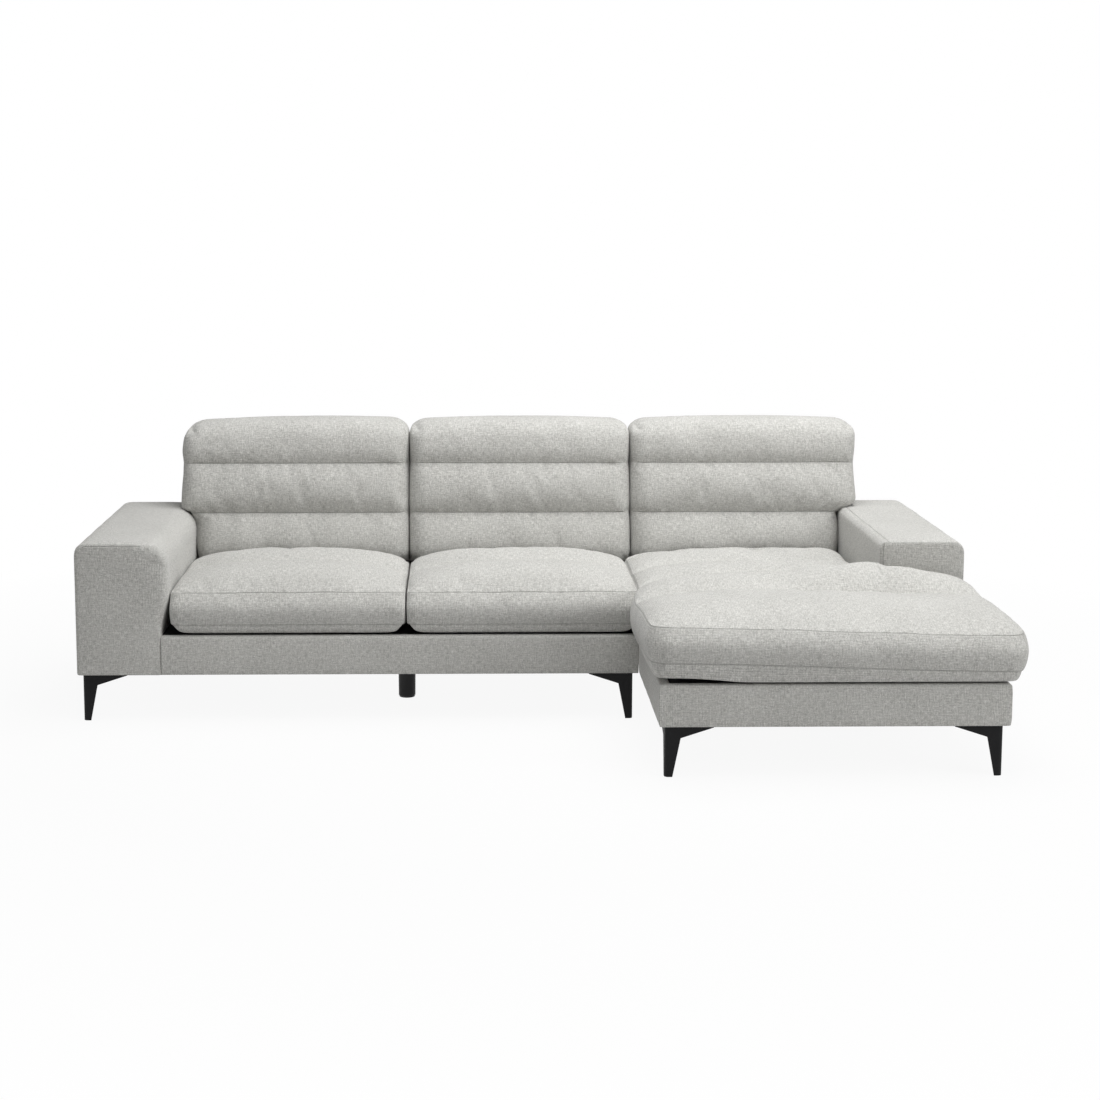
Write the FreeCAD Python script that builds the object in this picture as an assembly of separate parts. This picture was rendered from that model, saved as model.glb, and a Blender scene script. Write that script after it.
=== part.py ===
import FreeCAD, Part
import math
import os

Vector = FreeCAD.Vector

# A sectional sofa of two sections that hook together: a two-seat section with the left arm and a
# chaise section with the right arm. Millimetres, X to the right as seen from the front, Y to the
# back, Z up from the floor, with the origin on the floor at the middle of the overall box.

# Sections
leg_height = 150.0
base_height = 125.0
two_seat_width = 1790.0
chaise_width = 1032.0
section_gap = 2.0
section_depth = 870.0
chaise_extension = 646.0
chaise_side_overhang = 18.0
chaise_front_overhang = 26.0
chaise_base_inset = 20.0

# Wooden base frame
rail_thickness = 32.0
rear_rail_thickness = 60.0
cross_rail_thickness = 45.0
cross_rail_position = 772.0
corner_block_side = 110.0
corner_block_height = 38.0

# Base upholstery, webbing and linings
cover_thickness = 12.0
cover_edge_radius = 8.0
cover_return_width = 18.0
chaise_corner_radius = 11.0
webbing_thickness = 2.0
webbing_width = 60.0
webbing_pitch = 84.0
webbing_clearance = 1.0
deck_cloth_thickness = 2.0
dust_cover_thickness = 1.0
dust_cover_margin = 10.0
fit_clearance = 0.3
slot_clearance = 3.0

# Low rear wall behind the seats
wall_gap = 3.0
wall_frame_thickness = 30.0
wall_skin = 3.0
wall_top_padding = 6.0
wall_rail_height = 30.0
wall_post_width = 40.0

# Arms
arm_width = 270.0
arm_height = 426.0
arm_outer_radius = 38.0
left_arm_inner_radius = 70.0
right_arm_inner_radius = 34.0
left_arm_swell = 25.0
right_arm_swell = 0.0
arm_top_crown = 4.0
arm_end_round = 16.0
arm_side_padding = 25.0
arm_top_padding = 62.0
arm_panel_thickness = 15.0
arm_post_depth = 60.0
arm_board_thickness = 20.0

# Legs and the support foot
leg_sheet = 4.0
leg_corner_radius = 12.0
leg_foot_width = 23.0
leg_knee_width = 46.0
leg_knee_height = 115.0
leg_wing_width = 141.0
leg_wing_lip = 4.0
leg_side_inset = 17.0
leg_face_inset = 15.0
foot_diameter = 58.0
foot_position = 310.0

# Seat cushions
left_seat_width = 748.0
left_arm_gap = 28.0
arm_gap = 14.0
cushion_gap = 4.0
cushion_rest = 0.3
cushion_lower_seam = 36.0
cushion_top_seam = 146.0
cushion_valley_rise = 26.0
cushion_channel_rise = 34.0
cushion_channel_ratio = 0.115
cushion_side_bulge = 10.0
cushion_tuck = 12.0
cushion_end_inset = 7.0
cushion_corner_draw = 14.0
cushion_back_gap = 6.0
channel_first = 318.0
channel_pitch = 247.0
channel_least = 30.0
chaise_left_swell = 42.0
chaise_corner_draw = 110.0
core_inset = 70.0
core_bottom = 40.0
core_top_cover = 22.0
dome_power = 3
dome_end = 0.02
corner_start = 0.8

# Back units
back_lean = 12.0
back_bottom = 385.0
back_channel_pitch = 170.0
back_depth = 205.0
back_channel_bulge = 24.0
back_channel_power = 2.4
back_front_crown = 8.0
back_corner = 36.0
back_top_round = 62.0
back_bottom_round = 28.0
back_rear_round = 16.0
back_gap = 4.0
left_arm_overlap = 31.0
right_arm_overlap = 67.0
back_seat_shift = 7.0
back_joint_shift = 31.0
back_arm_gap = 6.0
back_flare_height = 60.0
back_side_corner = 36.0
back_foot_extra = 26.0
back_foot_height = 100.0
back_board_thickness = 18.0
back_board_inset = 110.0
back_board_foot = 24.0
back_board_cover = 66.0

# Steel brackets, sleeves, hooks and bolts
prong_thickness = 6.0
prong_width = 40.0
prong_spacing = 220.0
prong_reach = 150.0
prong_cover = 31.0
bracket_margin = 24.0
bracket_height = 72.0
sleeve_wall = 2.5
sleeve_side_clearance = 1.0
sleeve_face_clearance = 0.5
sleeve_cap = 3.0
bolt_diameter = 8.0
bolt_head_diameter = 18.0
bolt_head_height = 5.0
bolt_hole_clearance = 0.5
bolt_end = 6.0
arm_bolt_height = 62.0
arm_bolt_inset = 190.0
hook_drop = 45.0
hook_sheet = 2.5
hook_width = 60.0
hook_height = 50.0
hook_tongue = 25.0
hook_first = 200.0
hook_second = 640.0

# Levels
base_bottom = leg_height
base_top = leg_height + base_height
rail_top = base_top - webbing_thickness - deck_cloth_thickness
arm_top = base_bottom + arm_height
cushion_bottom = base_top + cushion_rest

# The back units: places are taken from the bracket, which is bolted to the rear rail
slope = math.tan(math.radians(back_lean))
prong_depth = prong_thickness / math.cos(math.radians(back_lean))
bend_level = rail_top
back_height = 3.0 * back_channel_pitch


def circle_drop(distance, radius):
    """How far a quarter circle of this radius has fallen at this distance from its top."""
    reach = min(max(distance, 0.0), radius)
    return radius - math.sqrt(radius * radius - reach * reach)


def back_rear_draw(level):
    """How far the rear face of a back unit is drawn in at a height above its bottom."""
    from_top = circle_drop(level - (back_height - back_top_round), back_top_round)
    from_bottom = circle_drop(back_rear_round - level, back_rear_round)
    return from_top + from_bottom


top_steps = [math.sin(math.radians(angle)) for angle in (30.0, 60.0, 90.0)]
bottom_steps = (0.0, 0.3, 1.0)
channel_steps = (0.5, 0.86, 1.0, 1.14)
back_levels = [step * back_bottom_round for step in bottom_steps]
back_levels += [(channel + step) * back_channel_pitch for channel in (0, 1) for step in channel_steps]
back_levels += [back_height - back_top_round * (1.0 - step) for step in [0.0] + top_steps]

rear_rise = max(level * slope - back_rear_draw(level) for level in back_levels)
rear_face_from_rear = cover_thickness + rear_rail_thickness
prong_shift = (back_bottom - bend_level) * slope - rear_face_from_rear - prong_thickness / 2.0
back_seam_shift = prong_shift - back_depth + prong_cover
rear_overhang = back_seam_shift + back_depth + rear_rise

# Places along X and Y
overall_width = two_seat_width + section_gap + chaise_width + chaise_side_overhang
overall_depth = chaise_front_overhang + chaise_extension + section_depth + rear_overhang
x_left = -overall_width / 2.0
x_left_arm = x_left + arm_width
x_joint_left = x_left + two_seat_width
x_joint_right = x_joint_left + section_gap
x_right = x_joint_right + chaise_width
x_right_arm = x_right - arm_width
x_base_right = x_right - chaise_base_inset
y_front = chaise_front_overhang - overall_depth / 2.0
y_seat = y_front + chaise_extension
y_rear = y_seat + section_depth
y_rear_rail = y_rear - rear_face_from_rear
y_back_seam = y_rear + back_seam_shift
y_cushion_rear = y_back_seam - back_channel_bulge - cushion_back_gap - cushion_side_bulge
x_seat_split = x_left_arm + left_arm_gap + left_seat_width + cushion_gap / 2.0
x_cross_rail = x_left_arm + cross_rail_position
x_back_split = x_seat_split - back_seat_shift
x_back_joint = x_joint_left + back_joint_shift
left_back_span = (x_left_arm - left_arm_overlap, x_back_split - back_gap / 2.0)
middle_back_span = (x_back_split + back_gap / 2.0, x_back_joint - back_gap / 2.0)
right_back_span = (x_back_joint + back_gap / 2.0, x_right_arm + right_arm_overlap)
x_left_bracket = sum(left_back_span) / 2.0
x_middle_bracket = sum(middle_back_span) / 2.0
x_right_bracket = sum(right_back_span) / 2.0


def box(x0, x1, y0, y1, z0, z1):
    return Part.makeBox(x1 - x0, y1 - y0, z1 - z0, Vector(x0, y0, z0))


def bulged_wire(points, bulges, normal):
    """A closed outline whose sides are lines or arcs that stand out by their bulge."""
    edges = []
    for number, start in enumerate(points):
        end = points[(number + 1) % len(points)]
        bulge = bulges[number]
        if bulge == 0.0:
            edges.append(Part.makeLine(start, end))
        else:
            along = end - start
            outward = normal.cross(along)
            outward.normalize()
            middle = (start + end) * 0.5 + outward * bulge
            edges.append(Part.Arc(start, middle, end).toShape())
    return Part.Wire(edges)


def corner_bulge(radius):
    """The bulge of a quarter-round corner of this radius."""
    return radius * (1.0 - math.sqrt(0.5))


def prism(points, bulges, normal, sweep):
    """A solid swept from a flat bulged outline."""
    return Part.Face(bulged_wire(points, bulges, normal)).extrude(sweep)


def polygon_prism(points, sweep):
    return Part.Face(Part.makePolygon(points + points[:1])).extrude(sweep)


def six_sided(place, direction, length, across):
    """A six-sided bar from a place along a level direction, measured across its corners."""
    sideways = Vector(0, 0, 1).cross(direction)
    corners = []
    for number in range(6):
        angle = math.radians(60.0 * number)
        corners.append(place + sideways * (across / 2.0 * math.cos(angle))
                       + Vector(0, 0, across / 2.0 * math.sin(angle)))
    return polygon_prism(corners, direction * length)


# The cover bands over the base rails: a padded face with rounded edges and a return on the rail

def band_outline(place):
    """The section of a cover band; place turns a depth behind its face and a height into a point."""
    points = [
        place(cover_thickness, base_bottom),
        place(cover_edge_radius, base_bottom),
        place(0.0, base_bottom + cover_edge_radius),
        place(0.0, base_top - cover_edge_radius),
        place(cover_edge_radius, base_top),
        place(cover_thickness + cover_return_width, base_top),
        place(cover_thickness + cover_return_width, rail_top),
        place(cover_thickness, rail_top),
    ]
    round_bulge = corner_bulge(cover_edge_radius)
    return points, [0.0, round_bulge, 0.0, round_bulge, 0.0, 0.0, 0.0, 0.0]


def band_along_x(x0, x1, y_face, inward):
    points, bulges = band_outline(lambda depth, level: Vector(x0, y_face + inward * depth, level))
    return prism(points, bulges, Vector(inward, 0, 0), Vector(x1 - x0, 0, 0))


def band_along_y(y0, y1, x_face, inward):
    points, bulges = band_outline(lambda depth, level: Vector(x_face + inward * depth, y0, level))
    return prism(points, bulges, Vector(0, -inward, 0), Vector(0, y1 - y0, 0))


wall_depth = cover_thickness + wall_frame_thickness + wall_skin
wall_top = back_bottom - wall_gap


def rear_cover(x0, x1):
    """The cover of the base's rear and of the low wall on it, down over the wall's front."""
    radius = cover_edge_radius
    outline = [
        (cover_thickness, base_bottom),
        (radius, base_bottom),
        (0.0, base_bottom + radius),
        (0.0, wall_top - radius),
        (radius, wall_top),
        (wall_depth - radius, wall_top),
        (wall_depth, wall_top - radius),
        (wall_depth, rail_top),
        (wall_depth - wall_skin, rail_top),
        (wall_depth - wall_skin, wall_top - wall_top_padding),
        (cover_thickness, wall_top - wall_top_padding),
    ]
    points = [Vector(x0, y_rear - depth, level) for depth, level in outline]
    turn = corner_bulge(radius)
    bulges = [0.0, turn, 0.0, turn, 0.0, turn, 0.0, 0.0, 0.0, 0.0, 0.0]
    return prism(points, bulges, Vector(-1, 0, 0), Vector(x1 - x0, 0, 0))


def wall_frame(x0, x1, post_count):
    """The wooden frame in the low wall: upright posts on the rear rail and a rail along their tops."""
    y0, y1 = y_rear - wall_depth + wall_skin, y_rear - cover_thickness
    high = wall_top - wall_top_padding
    boards = [box(x0, x1, y0, y1, high - wall_rail_height, high)]
    for number in range(post_count):
        x = x0 + (x1 - x0 - wall_post_width) * number / (post_count - 1)
        boards.append(box(x, x + wall_post_width, y0, y1, rail_top, high - wall_rail_height))
    return Part.makeCompound(boards)


def chaise_front_cover():
    """The band round the front of the chaise, with its two upright corners rounded in plan."""
    deep = cover_thickness + cover_return_width
    radius = chaise_corner_radius
    points = [
        Vector(x_joint_right, y_front + deep, 0.0),
        Vector(x_joint_right, y_front + radius, 0.0),
        Vector(x_joint_right + radius, y_front, 0.0),
        Vector(x_base_right - radius, y_front, 0.0),
        Vector(x_base_right, y_front + radius, 0.0),
        Vector(x_base_right, y_front + deep, 0.0),
    ]
    turn = corner_bulge(radius)
    plan = prism(points, [0.0, turn, 0.0, turn, 0.0, 0.0], Vector(0, 0, 1), Vector(0, 0, base_top))
    band = band_along_x(x_joint_right, x_base_right, y_front, 1.0).common(plan)
    band = band.fuse(band_along_y(y_front + deep, y_seat, x_joint_right, 1.0))
    band = band.fuse(band_along_y(y_front + deep, y_seat, x_base_right, -1.0))
    return band.removeSplitter()


# The wooden rails of the two base frames

def two_seat_rails():
    y0 = y_seat + cover_thickness
    y_inner = y0 + rail_thickness
    half = cross_rail_thickness / 2.0
    return {
        "two_seat_front_rail": box(x_left_arm, x_joint_left, y0, y_inner, base_bottom, rail_top),
        "two_seat_rear_rail": box(x_left_arm, x_joint_left, y_rear_rail, y_rear - cover_thickness,
                                  base_bottom, rail_top),
        "two_seat_left_rail": box(x_left_arm, x_left_arm + rail_thickness, y_inner, y_rear_rail,
                                  base_bottom, rail_top),
        "two_seat_right_rail": box(x_joint_left - rail_thickness, x_joint_left, y_inner, y_rear_rail,
                                   base_bottom, rail_top),
        "two_seat_cross_rail": box(x_cross_rail - half, x_cross_rail + half, y_inner, y_rear_rail,
                                   base_bottom, rail_top),
    }


x_chaise_rail = x_joint_right + cover_thickness
x_chaise_rail_right = x_base_right - cover_thickness
y_chaise_rail = y_front + cover_thickness + rail_thickness


def chaise_rails():
    y0 = y_front + cover_thickness
    y_cross = y_seat - rail_thickness
    x_inner = x_chaise_rail + rail_thickness
    return {
        "chaise_front_rail": box(x_chaise_rail, x_chaise_rail_right, y0, y_chaise_rail,
                                 base_bottom, rail_top),
        "chaise_rear_rail": box(x_chaise_rail, x_right_arm, y_rear_rail, y_rear - cover_thickness,
                                base_bottom, rail_top),
        "chaise_left_rail": box(x_chaise_rail, x_inner, y_chaise_rail, y_rear_rail,
                                base_bottom, rail_top),
        "chaise_right_rail": box(x_chaise_rail_right - rail_thickness, x_chaise_rail_right,
                                 y_chaise_rail, y_cross, base_bottom, rail_top),
        "chaise_cross_rail": box(x_inner, x_chaise_rail_right, y_cross, y_seat, base_bottom, rail_top),
        "chaise_arm_rail": box(x_right_arm - rail_thickness, x_right_arm, y_seat, y_rear_rail,
                               base_bottom, rail_top),
    }


def corner_block(x, y, x_way, y_way):
    """A three-cornered glue block that fills the corner of two rails."""
    points = [
        Vector(x, y, base_bottom),
        Vector(x + x_way * corner_block_side, y, base_bottom),
        Vector(x, y + y_way * corner_block_side, base_bottom),
    ]
    return polygon_prism(points, Vector(0, 0, corner_block_height))


def two_seat_corner_blocks():
    x0 = x_left_arm + rail_thickness
    x1 = x_joint_left - rail_thickness
    y0 = y_seat + cover_thickness + rail_thickness
    corners = [(x0, y0, 1, 1), (x1, y0, -1, 1), (x0, y_rear_rail, 1, -1), (x1, y_rear_rail, -1, -1)]
    return Part.makeCompound([corner_block(*corner) for corner in corners])


def chaise_corner_blocks():
    x0 = x_chaise_rail + rail_thickness
    x1 = x_chaise_rail_right - rail_thickness
    x2 = x_right_arm - rail_thickness
    corners = [(x0, y_chaise_rail, 1, 1), (x1, y_chaise_rail, -1, 1),
               (x0, y_rear_rail, 1, -1), (x2, y_rear_rail, -1, -1)]
    return Part.makeCompound([corner_block(*corner) for corner in corners])


# Webbing, deck cloth and dust cover

def straps(x0, x1, y0, y1):
    """Elastic straps side by side from x0 to x1, evenly spread between y0 and y1."""
    count = max(1, int((y1 - y0) / webbing_pitch))
    pitch = (y1 - y0) / count
    made = []
    for number in range(count):
        middle = y0 + (number + 0.5) * pitch
        made.append(box(x0, x1, middle - webbing_width / 2.0, middle + webbing_width / 2.0,
                        rail_top, rail_top + webbing_thickness))
    return made


y_webbing_rear = y_rear_rail - prong_thickness - bolt_head_height
webbing_bearing = rail_thickness - cover_return_width - webbing_clearance


def two_seat_webbing():
    x0 = x_left_arm + rail_thickness - webbing_bearing
    x1 = x_joint_left - rail_thickness + webbing_bearing
    y0 = y_seat + cover_thickness + rail_thickness
    return Part.makeCompound(straps(x0, x1, y0, y_webbing_rear))


def chaise_webbing():
    x0 = x_chaise_rail + rail_thickness - webbing_bearing
    x1 = x_chaise_rail_right - rail_thickness + webbing_bearing
    x2 = x_right_arm - rail_thickness + webbing_bearing
    front = straps(x0, x1, y_chaise_rail, y_seat - rail_thickness)
    return Part.makeCompound(front + straps(x0, x2, y_seat, y_webbing_rear))


def prong_y(level):
    """The middle of the bracket prongs at a height above the floor."""
    lean = max(0.0, level - bend_level) * slope
    return y_rear_rail - prong_thickness / 2.0 + lean


def prong_middles(x_bracket):
    return [x_bracket - prong_spacing / 2.0, x_bracket + prong_spacing / 2.0]


def slotted(cloth, x_brackets):
    """The deck cloth, cut open where the bracket prongs rise through it."""
    reach = prong_depth / 2.0 + slot_clearance
    for x_bracket in x_brackets:
        for x in prong_middles(x_bracket):
            half = prong_width / 2.0 + slot_clearance
            cloth = cloth.cut(box(x - half, x + half, prong_y(rail_top) - reach,
                                  prong_y(base_top) + reach, rail_top, base_top + slot_clearance))
    return cloth


def two_seat_deck_cloth():
    edge = cover_thickness + cover_return_width
    level = rail_top + webbing_thickness
    cloth = box(x_left_arm, x_joint_left, y_seat + edge, y_rear - wall_depth, level, base_top)
    return slotted(cloth, [x_left_bracket, x_middle_bracket])


def chaise_deck_cloth():
    edge = cover_thickness + cover_return_width
    level = rail_top + webbing_thickness
    x0 = x_joint_right + edge
    front = box(x0, x_base_right - edge, y_front + edge, y_seat, level, base_top)
    rear = box(x0, x_right_arm, y_seat, y_rear - wall_depth, level, base_top)
    return slotted(front.fuse(rear).removeSplitter(), [x_right_bracket])


def leg_corners():
    """The outer corner of each leg and the way that its two wings run."""
    right = x_joint_left - leg_side_inset
    left = x_left + leg_side_inset
    chaise_left = x_joint_right + leg_side_inset
    near, far = y_seat + leg_face_inset, y_rear - leg_face_inset
    return {
        "two_seat_leg_front_left": (left, near, 1, 1),
        "two_seat_leg_front_right": (right, near, -1, 1),
        "two_seat_leg_rear_left": (left, far, 1, -1),
        "two_seat_leg_rear_right": (right, far, -1, -1),
        "chaise_leg_front_left": (chaise_left, y_front + leg_face_inset, 1, 1),
        "chaise_leg_front_right": (x_base_right - leg_side_inset, y_front + leg_face_inset, -1, 1),
        "chaise_leg_rear_left": (chaise_left, far, 1, -1),
        "chaise_leg_rear_right": (x_right - leg_side_inset, far, -1, -1),
    }


def dust_cover(section, x0, x1, y0, y1):
    """The lining under a section, cut away where its legs stand against the frame."""
    low = base_bottom - dust_cover_thickness
    sheet = box(x0 + dust_cover_margin, x1 - dust_cover_margin, y0 + dust_cover_margin,
                y1 - dust_cover_margin, low, base_bottom)
    wing = leg_wing_width + slot_clearance
    for name, (x, y, x_way, y_way) in leg_corners().items():
        if name.startswith(section):
            x_far, y_far = x + x_way * wing, y + y_way * wing
            x_near, y_near = x - x_way * wing, y - y_way * wing
            sheet = sheet.cut(box(min(x_near, x_far), max(x_near, x_far), min(y_near, y_far),
                                  max(y_near, y_far), low, base_bottom))
    return sheet


# Legs and the support foot

def leg_trim(along, across):
    """What is cut away below one wing of a leg; along and across are the wing's two level ways."""
    outline = [
        (leg_foot_width, 0.0),
        (leg_knee_width, leg_knee_height),
        (leg_wing_width, leg_height - leg_wing_lip),
        (leg_wing_width + leg_sheet, leg_height - leg_wing_lip),
        (leg_wing_width + leg_sheet, 0.0),
    ]
    points = [along * reach + Vector(0, 0, level) - across * leg_sheet for reach, level in outline]
    return polygon_prism(points, across * (3.0 * leg_sheet))


def leg(x, y, x_way, y_way):
    """A corner leg of bent sheet with two tapered wings and a plate that is screwed to the frame."""
    outer, inner = leg_corner_radius, leg_corner_radius - leg_sheet
    wing = leg_wing_width
    points = [
        Vector(0, outer, 0),
        Vector(outer, 0, 0),
        Vector(wing, 0, 0),
        Vector(wing, leg_sheet, 0),
        Vector(outer, leg_sheet, 0),
        Vector(leg_sheet, outer, 0),
        Vector(leg_sheet, wing, 0),
        Vector(0, wing, 0),
    ]
    bulges = [corner_bulge(outer), 0.0, 0.0, 0.0, -corner_bulge(inner), 0.0, 0.0, 0.0]
    shape = prism(points, bulges, Vector(0, 0, -1), Vector(0, 0, leg_height))
    shape = shape.cut(leg_trim(Vector(1, 0, 0), Vector(0, 1, 0)))
    shape = shape.cut(leg_trim(Vector(0, 1, 0), Vector(1, 0, 0)))
    plate_level = leg_height - leg_wing_lip
    plate = polygon_prism(
        [Vector(leg_sheet, outer, plate_level), Vector(outer, leg_sheet, plate_level),
         Vector(wing - leg_sheet, leg_sheet, plate_level),
         Vector(leg_sheet, wing - leg_sheet, plate_level)],
        Vector(0, 0, leg_wing_lip))
    shape = shape.fuse(plate).removeSplitter()
    if x_way < 0:
        shape = shape.mirror(Vector(0, 0, 0), Vector(1, 0, 0))
    if y_way < 0:
        shape = shape.mirror(Vector(0, 0, 0), Vector(0, 1, 0))
    shape.translate(Vector(x, y, 0))
    return shape


def support_foot():
    """The round foot under the middle of the two-seat section."""
    return Part.makeCylinder(foot_diameter / 2.0, base_bottom - dust_cover_thickness,
                             Vector(x_cross_rail, y_seat + foot_position, 0))


# Arms

def arm_ring(x_outer, way, inner_radius, swell, y, inset):
    """The section of an arm at one place along its length, drawn in by inset at its ends."""
    outer = x_outer + way * inset
    inner = x_outer + way * (arm_width - min(inset, arm_end_round / 4.0))
    shoulder = inner + way * swell
    top = arm_top - inset
    points = [
        Vector(outer, y, base_bottom),
        Vector(outer, y, top - arm_outer_radius),
        Vector(outer + way * arm_outer_radius, y, top),
        Vector(shoulder - way * inner_radius, y, top),
        Vector(shoulder, y, top - inner_radius),
        Vector(inner, y, wall_top),
        Vector(inner, y, base_bottom),
    ]
    bulges = [0.0, corner_bulge(arm_outer_radius), arm_top_crown, corner_bulge(inner_radius),
              0.0, 0.0, 0.0]
    return bulged_wire(points, bulges, Vector(0, -way, 0))


def arm_hollow(x_outer, way):
    """The space inside the padding of an arm, as the two X faces, two Y faces and top of a box."""
    x_a = x_outer + way * arm_side_padding
    x_b = x_outer + way * (arm_width - arm_side_padding)
    y_a = y_seat + arm_side_padding
    y_b = y_rear - arm_side_padding
    return min(x_a, x_b), max(x_a, x_b), y_a, y_b, arm_top - arm_top_padding


arm_bolt_level = base_bottom + arm_bolt_height


def arm_bolt_places():
    return [y_seat + arm_bolt_inset, y_rear - arm_bolt_inset]


def arm_bolt_holes(x_inner, way):
    """Clearance holes for the arm bolts, through the side rail, the padding and the arm panel."""
    length = rail_thickness + arm_side_padding + arm_panel_thickness + bolt_end
    across = bolt_diameter + 2.0 * bolt_hole_clearance
    return Part.makeCompound([six_sided(Vector(x_inner + way * rail_thickness, y, arm_bolt_level),
                                        Vector(-way, 0, 0), length, across)
                              for y in arm_bolt_places()])


def arm_cover(x_outer, way, inner_radius, swell):
    """The padded cover of an arm, open below for its frame."""
    steps = [(1.0, 0.0), (0.3, 0.3), (0.0, 1.0)]
    rings = [arm_ring(x_outer, way, inner_radius, swell, y_seat + arm_end_round * along,
                      arm_end_round * inset) for inset, along in steps]
    rings += [arm_ring(x_outer, way, inner_radius, swell, y_rear - arm_end_round * along,
                       arm_end_round * inset) for inset, along in reversed(steps)]
    shape = Part.makeLoft(rings, True, True)
    x0, x1, y0, y1, top = arm_hollow(x_outer, way)
    x_inner = x_outer + way * arm_width
    return shape.cut(box(x0, x1, y0, y1, base_bottom, top)).cut(arm_bolt_holes(x_inner, way))


def arm_frame(x_outer, way):
    """Boards inside an arm: two side panels, two posts, and a board at the bottom and at the top."""
    x0, x1, y0, y1, top = arm_hollow(x_outer, way)
    bottom = base_bottom
    low, high = bottom + arm_board_thickness, top - arm_board_thickness
    panel = arm_panel_thickness
    boards = [
        box(x0, x1, y0, y1, bottom, low),
        box(x0, x1, y0, y1, high, top),
        box(x0, x0 + panel, y0, y1, low, high),
        box(x1 - panel, x1, y0, y1, low, high),
        box(x0 + panel, x1 - panel, y0, y0 + arm_post_depth, low, high),
        box(x0 + panel, x1 - panel, y1 - arm_post_depth, y1, low, high),
    ]
    holes = arm_bolt_holes(x_outer + way * arm_width, way)
    return Part.makeCompound([board.cut(holes) for board in boards])


# Bolts, brackets and hooks

def bolt_along(place, direction, length):
    """A bolt whose head lies on a face at place and whose shank runs in the given direction."""
    head = six_sided(place - direction * bolt_head_height, direction, bolt_head_height,
                     bolt_head_diameter)
    return head.fuse(six_sided(place, direction, length, bolt_diameter))


def arm_bolts(x_inner, way):
    """Bolts from inside the side rail through it and through the arm's inner panel."""
    length = rail_thickness + arm_side_padding + arm_panel_thickness + bolt_end
    return [bolt_along(Vector(x_inner + way * rail_thickness, y, arm_bolt_level),
                       Vector(-way, 0, 0), length) for y in arm_bolt_places()]


bracket_top = bend_level
bracket_low = bracket_top - bracket_height
bolt_level = bracket_low + bracket_height / 2.0
bracket_bolt_length = prong_thickness + rear_rail_thickness - bolt_end


def bracket_bolts(x_bracket):
    return [bolt_along(Vector(x, y_rear_rail - prong_thickness, bolt_level), Vector(0, 1, 0),
                       bracket_bolt_length) for x in prong_middles(x_bracket)]


def bracket_bolt_holes(x_bracket):
    across = bolt_diameter + 2.0 * bolt_hole_clearance
    length = bracket_bolt_length + bolt_hole_clearance
    return Part.makeCompound([six_sided(Vector(x, y_rear_rail - prong_thickness, bolt_level),
                                        Vector(0, 1, 0), length, across)
                              for x in prong_middles(x_bracket)])


def bracket(x_bracket):
    """A steel bracket: a plate on the rear rail with two leaning prongs that carry a back unit."""
    half = prong_spacing / 2.0 + prong_width / 2.0 + bracket_margin
    rear, front = y_rear_rail, y_rear_rail - prong_thickness
    shape = box(x_bracket - half, x_bracket + half, front, rear, bracket_low, bracket_top)
    tip = back_bottom + prong_reach * math.cos(math.radians(back_lean))
    taper = prong_width / 4.0
    for x in prong_middles(x_bracket):
        x0 = x - prong_width / 2.0
        middle, reach = prong_y(tip), prong_depth / 2.0
        side = [
            Vector(x0, front, bracket_top - taper),
            Vector(x0, rear, bracket_top - taper),
            Vector(x0, rear, bend_level),
            Vector(x0, middle + reach, tip),
            Vector(x0, middle - reach, tip),
            Vector(x0, front, bend_level),
        ]
        prong = polygon_prism(side, Vector(prong_width, 0, 0))
        face = [
            Vector(x0, front, bracket_low),
            Vector(x0 + prong_width, front, bracket_low),
            Vector(x0 + prong_width, front, tip - taper),
            Vector(x0 + prong_width - taper, front, tip),
            Vector(x0 + taper, front, tip),
            Vector(x0, front, tip - taper),
        ]
        outline = polygon_prism(face, Vector(0, middle + reach - front, 0))
        shape = shape.fuse(prong.common(outline))
    return shape.removeSplitter().cut(bracket_bolt_holes(x_bracket))


hook_top = rail_top - hook_drop
hook_places = (hook_first, hook_second)


def hook_prism(points, y):
    """A hook part: an outline in X and Z, swept over the hook's width."""
    flat = [Vector(x, y_seat + y, z) for x, z in points]
    return polygon_prism(flat, Vector(0, hook_width, 0))


def chaise_connectors():
    """Pockets on the chaise's joint side, open at the top for the two-seat section's tongues."""
    sheet, slack = hook_sheet, fit_clearance
    x0 = x_chaise_rail
    x1 = x0 - sheet
    x2 = x1 - sheet - 2.0 * slack
    x3 = x2 - sheet
    low = hook_top - hook_height
    lip = low + sheet + hook_tongue
    points = [(x0, low), (x3, low), (x3, lip), (x2, lip), (x2, low + sheet), (x1, low + sheet),
              (x1, hook_top - sheet - slack), (x0, hook_top - sheet - slack)]
    return Part.makeCompound([hook_prism(points, y) for y in hook_places])


def two_seat_connectors():
    """Tongues on the two-seat section's joint side that hang in the chaise's pockets."""
    sheet, slack = hook_sheet, fit_clearance
    x0 = x_chaise_rail - sheet - slack
    x1 = x0 - sheet
    x3 = x_joint_left
    x2 = x3 + sheet
    low = hook_top - hook_height + sheet + slack
    points = [(x0, low), (x1, low), (x1, hook_top - sheet), (x2, hook_top - sheet),
              (x2, low), (x3, low), (x3, hook_top), (x0, hook_top)]
    return Part.makeCompound([hook_prism(points, y) for y in hook_places])


# Seat cushions: lofts of side sections along X

def dome(place):
    """The share of the full crown at a place between the ends, which are at -1 and 1."""
    return max(dome_end, math.sqrt(1.0 - min(1.0, abs(place)) ** dome_power))


def corner_share(place):
    """How much of the plan corner is drawn in at a place between the ends."""
    return max(0.0, (abs(place) - corner_start) / (1.0 - corner_start)) ** 2


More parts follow.
